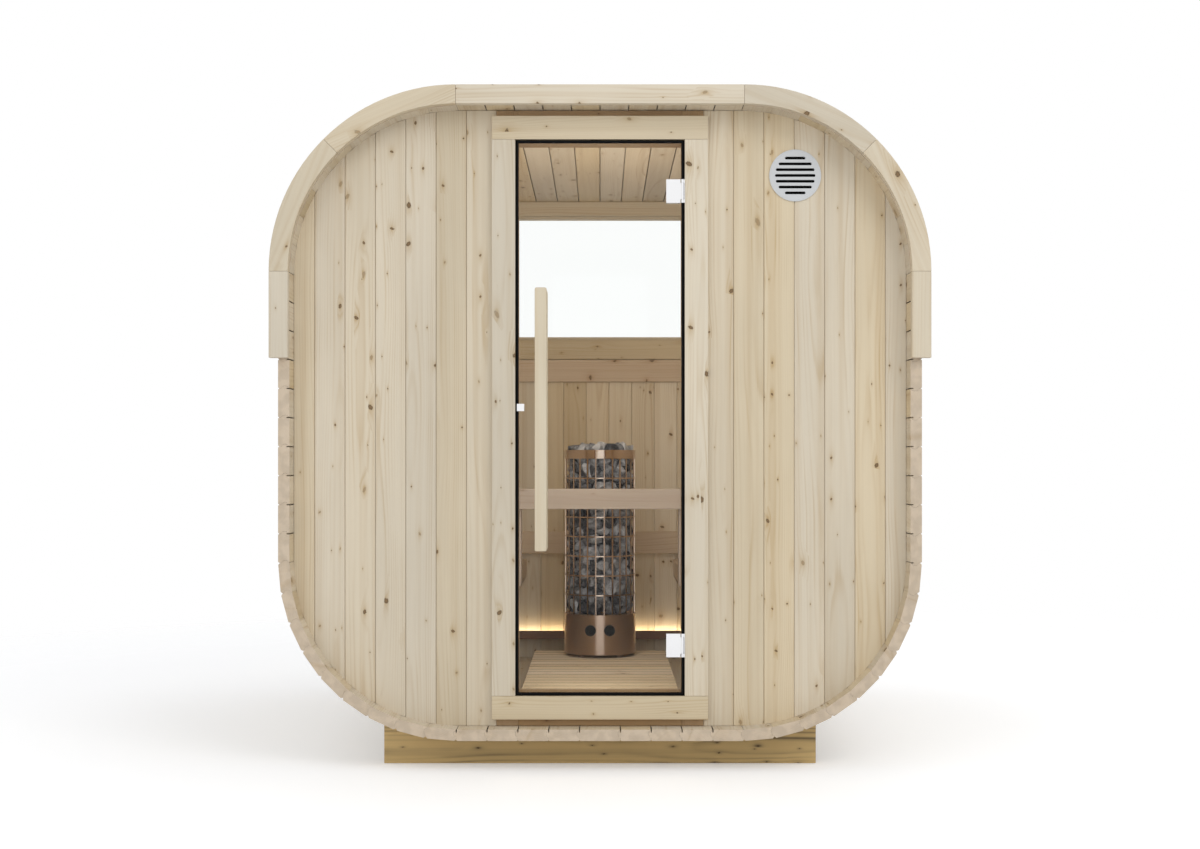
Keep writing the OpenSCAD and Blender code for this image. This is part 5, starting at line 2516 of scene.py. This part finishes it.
SEAL = Coat("seal rubber", (0.004, 0.004, 0.004), 0.7, shine=0.12)
CHROME = Steel("polished chrome", (0.90, 0.90, 0.91), 0.12, depth=0.02)
# The drum and cage steel are tinted brown, standing in for the wooden room they reflect: painted reflection.
DRUM_STEEL = Steel("drum steel with painted reflection", (0.66, 0.52, 0.43), 0.30, (Axis.X, Axis.Y), 900, depth=0.02, drawn=0.95)
CAGE_STEEL = Steel("cage steel with painted reflection", (0.68, 0.54, 0.44), 0.12, depth=0.02)
BAND_STEEL = Steel("band steel", (0.72, 0.72, 0.73), 0.30, depth=0.05)


@dataclass
class Studio:
    """The camera, the lamps, the pale floor and the white surroundings."""

    eye: tuple[float, float, float] = (0.0, -6.315, 0.984)
    lens: float = 49.7
    shift: float = 0.033

    def camera(self) -> None:
        """Puts the camera in front of the door, looking level."""
        data = bpy.data.cameras.new("camera")
        data.lens = self.lens
        data.sensor_width = 36
        data.shift_y = self.shift
        data.clip_end = 200
        camera = bpy.data.objects.new("camera", data)
        camera.location = self.eye
        camera.rotation_euler = (math.radians(90), 0, 0)
        bpy.context.scene.collection.objects.link(camera)
        bpy.context.scene.camera = camera

    def lamp(self, name: str, place: Point, aim: Point, size: tuple[float, float], power: float) -> None:
        """A soft panel of light that points at a place.

        Args:
            name: Its name.
            place: Where it hangs.
            aim: What it points at.
            size: Its width and height.
            power: Its power in watts.
        """
        data = bpy.data.lights.new(name, "AREA")
        data.shape = "RECTANGLE"
        data.size, data.size_y = size
        data.energy = power
        lamp = bpy.data.objects.new(name, data)
        lamp.location = place
        lamp.rotation_euler = (Vector(aim) - Vector(place)).to_track_quat("-Z", "Y").to_euler()
        lamp.visible_camera = lamp.visible_glossy = lamp.visible_transmission = False
        bpy.context.scene.collection.objects.link(lamp)

    def room_light(self) -> None:
        """A soft warm ball of light in the middle of the room."""
        data = bpy.data.lights.new("room_light", "POINT")
        data.energy = 8
        data.color = (1.0, 0.87, 0.72)
        data.shadow_soft_size = 0.30
        lamp = bpy.data.objects.new("room_light", data)
        lamp.location = (0, -0.30, 1.45)
        lamp.visible_camera = lamp.visible_glossy = lamp.visible_transmission = False
        bpy.context.scene.collection.objects.link(lamp)

    def world(self) -> None:
        """White for the eye, for gloss and for glass, and a soft grey light."""
        world = bpy.data.worlds.new("studio")
        world.use_nodes = True
        bpy.context.scene.world = world
        nodes, links = world.node_tree.nodes, world.node_tree.links
        nodes.clear()
        path = nodes.new("ShaderNodeLightPath")
        first, second = (nodes.new("ShaderNodeMath") for _ in range(2))
        for node in (first, second):
            node.operation = "MAXIMUM"
        links.new(path.outputs["Is Camera Ray"], first.inputs[0])
        links.new(path.outputs["Is Glossy Ray"], first.inputs[1])
        links.new(first.outputs[0], second.inputs[0])
        links.new(path.outputs["Is Transmission Ray"], second.inputs[1])
        light, seen = nodes.new("ShaderNodeBackground"), nodes.new("ShaderNodeBackground")
        light.inputs["Color"].default_value = (0.97, 0.98, 1.0, 1)
        light.inputs["Strength"].default_value = 0.76
        seen.inputs["Color"].default_value = (1, 1, 1, 1)
        blend, output = nodes.new("ShaderNodeMixShader"), nodes.new("ShaderNodeOutputWorld")
        links.new(second.outputs[0], blend.inputs[0])
        links.new(light.outputs[0], blend.inputs[1])
        links.new(seen.outputs[0], blend.inputs[2])
        links.new(blend.outputs[0], output.inputs[0])

    def floor(self) -> None:
        """A wide pale floor that keeps the object's shadow on the left, with painted light on its right that washes
        out the shadow there.
        """
        bpy.ops.object.select_all(action="DESELECT")
        bpy.ops.mesh.primitive_plane_add(size=60, location=(0, 0, -0.0005))
        floor = settle(bpy.context.object)
        floor.name = "studio_floor"
        r = Recipe("studio floor")
        speck = r.noise(r.place(), 3.0, 2).outputs["Fac"]
        level = r.math("MULTIPLY_ADD", speck, 0.01, 0.90)
        r.set(base_color=r.join(level, level, level), roughness=0.9, specular_ior_level=0.1)
        seen = r.node("ShaderNodeLightPath")
        far = r.reach(r.vector("LENGTH", r.place()), 1.3, 2.4, 0.24, 0.29)
        # Painted light: the floor glows more for the camera towards the right, washing out the object's shadow on
        # that side.
        far = r.math("ADD", far, r.reach(r.split(r.place())[0], 0.6, 1.3, 0.0, 0.06))
        r.set(
            emission_color=(1.0, 1.0, 1.0),
            emission_strength=r.math("MULTIPLY", seen.outputs["Is Camera Ray"], far),
        )
        r.set(alpha=r.reach(r.vector("LENGTH", r.place()), 2.6, 5.5, 1.0, 0.0))
        floor.data.materials.append(r.material)

    def build(self) -> None:
        """Sets up the whole studio."""
        bpy.context.scene.view_settings.view_transform = "Standard"
        self.camera()
        self.world()
        self.floor()
        self.lamp("key", (3.4, -6.0, 5.6), (0, -0.6, 0.9), (3.5, 3.5), 122)
        self.lamp("fill", (-3.0, -6.8, 2.6), (0, -0.6, 1.1), (4.0, 3.0), 55)
        self.lamp("door_light", (0, -0.84, 1.15), (0, 1.0, 1.05), (0.5, 1.5), 5)
        self.room_light()


def main() -> None:
    """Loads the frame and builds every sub-assembly."""
    logging.basicConfig(level=logging.INFO, format="%(name)s %(message)s")
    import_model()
    Studio().build()
    for group in (
        StaveShell(),
        EndWalls(),
        Bows(),
        DoorFrame(),
        Door(),
        HingeLeaves(),
        RearWindow(),
        Interior(),
        Heater(),
        Vent(),
        Bands(),
        Roof(),
        Cradles(),
    ):
        pieces = group.build()
        log.info("%s: %d pieces", type(group).__name__, len(pieces))


if __name__ == "__main__":
    main()
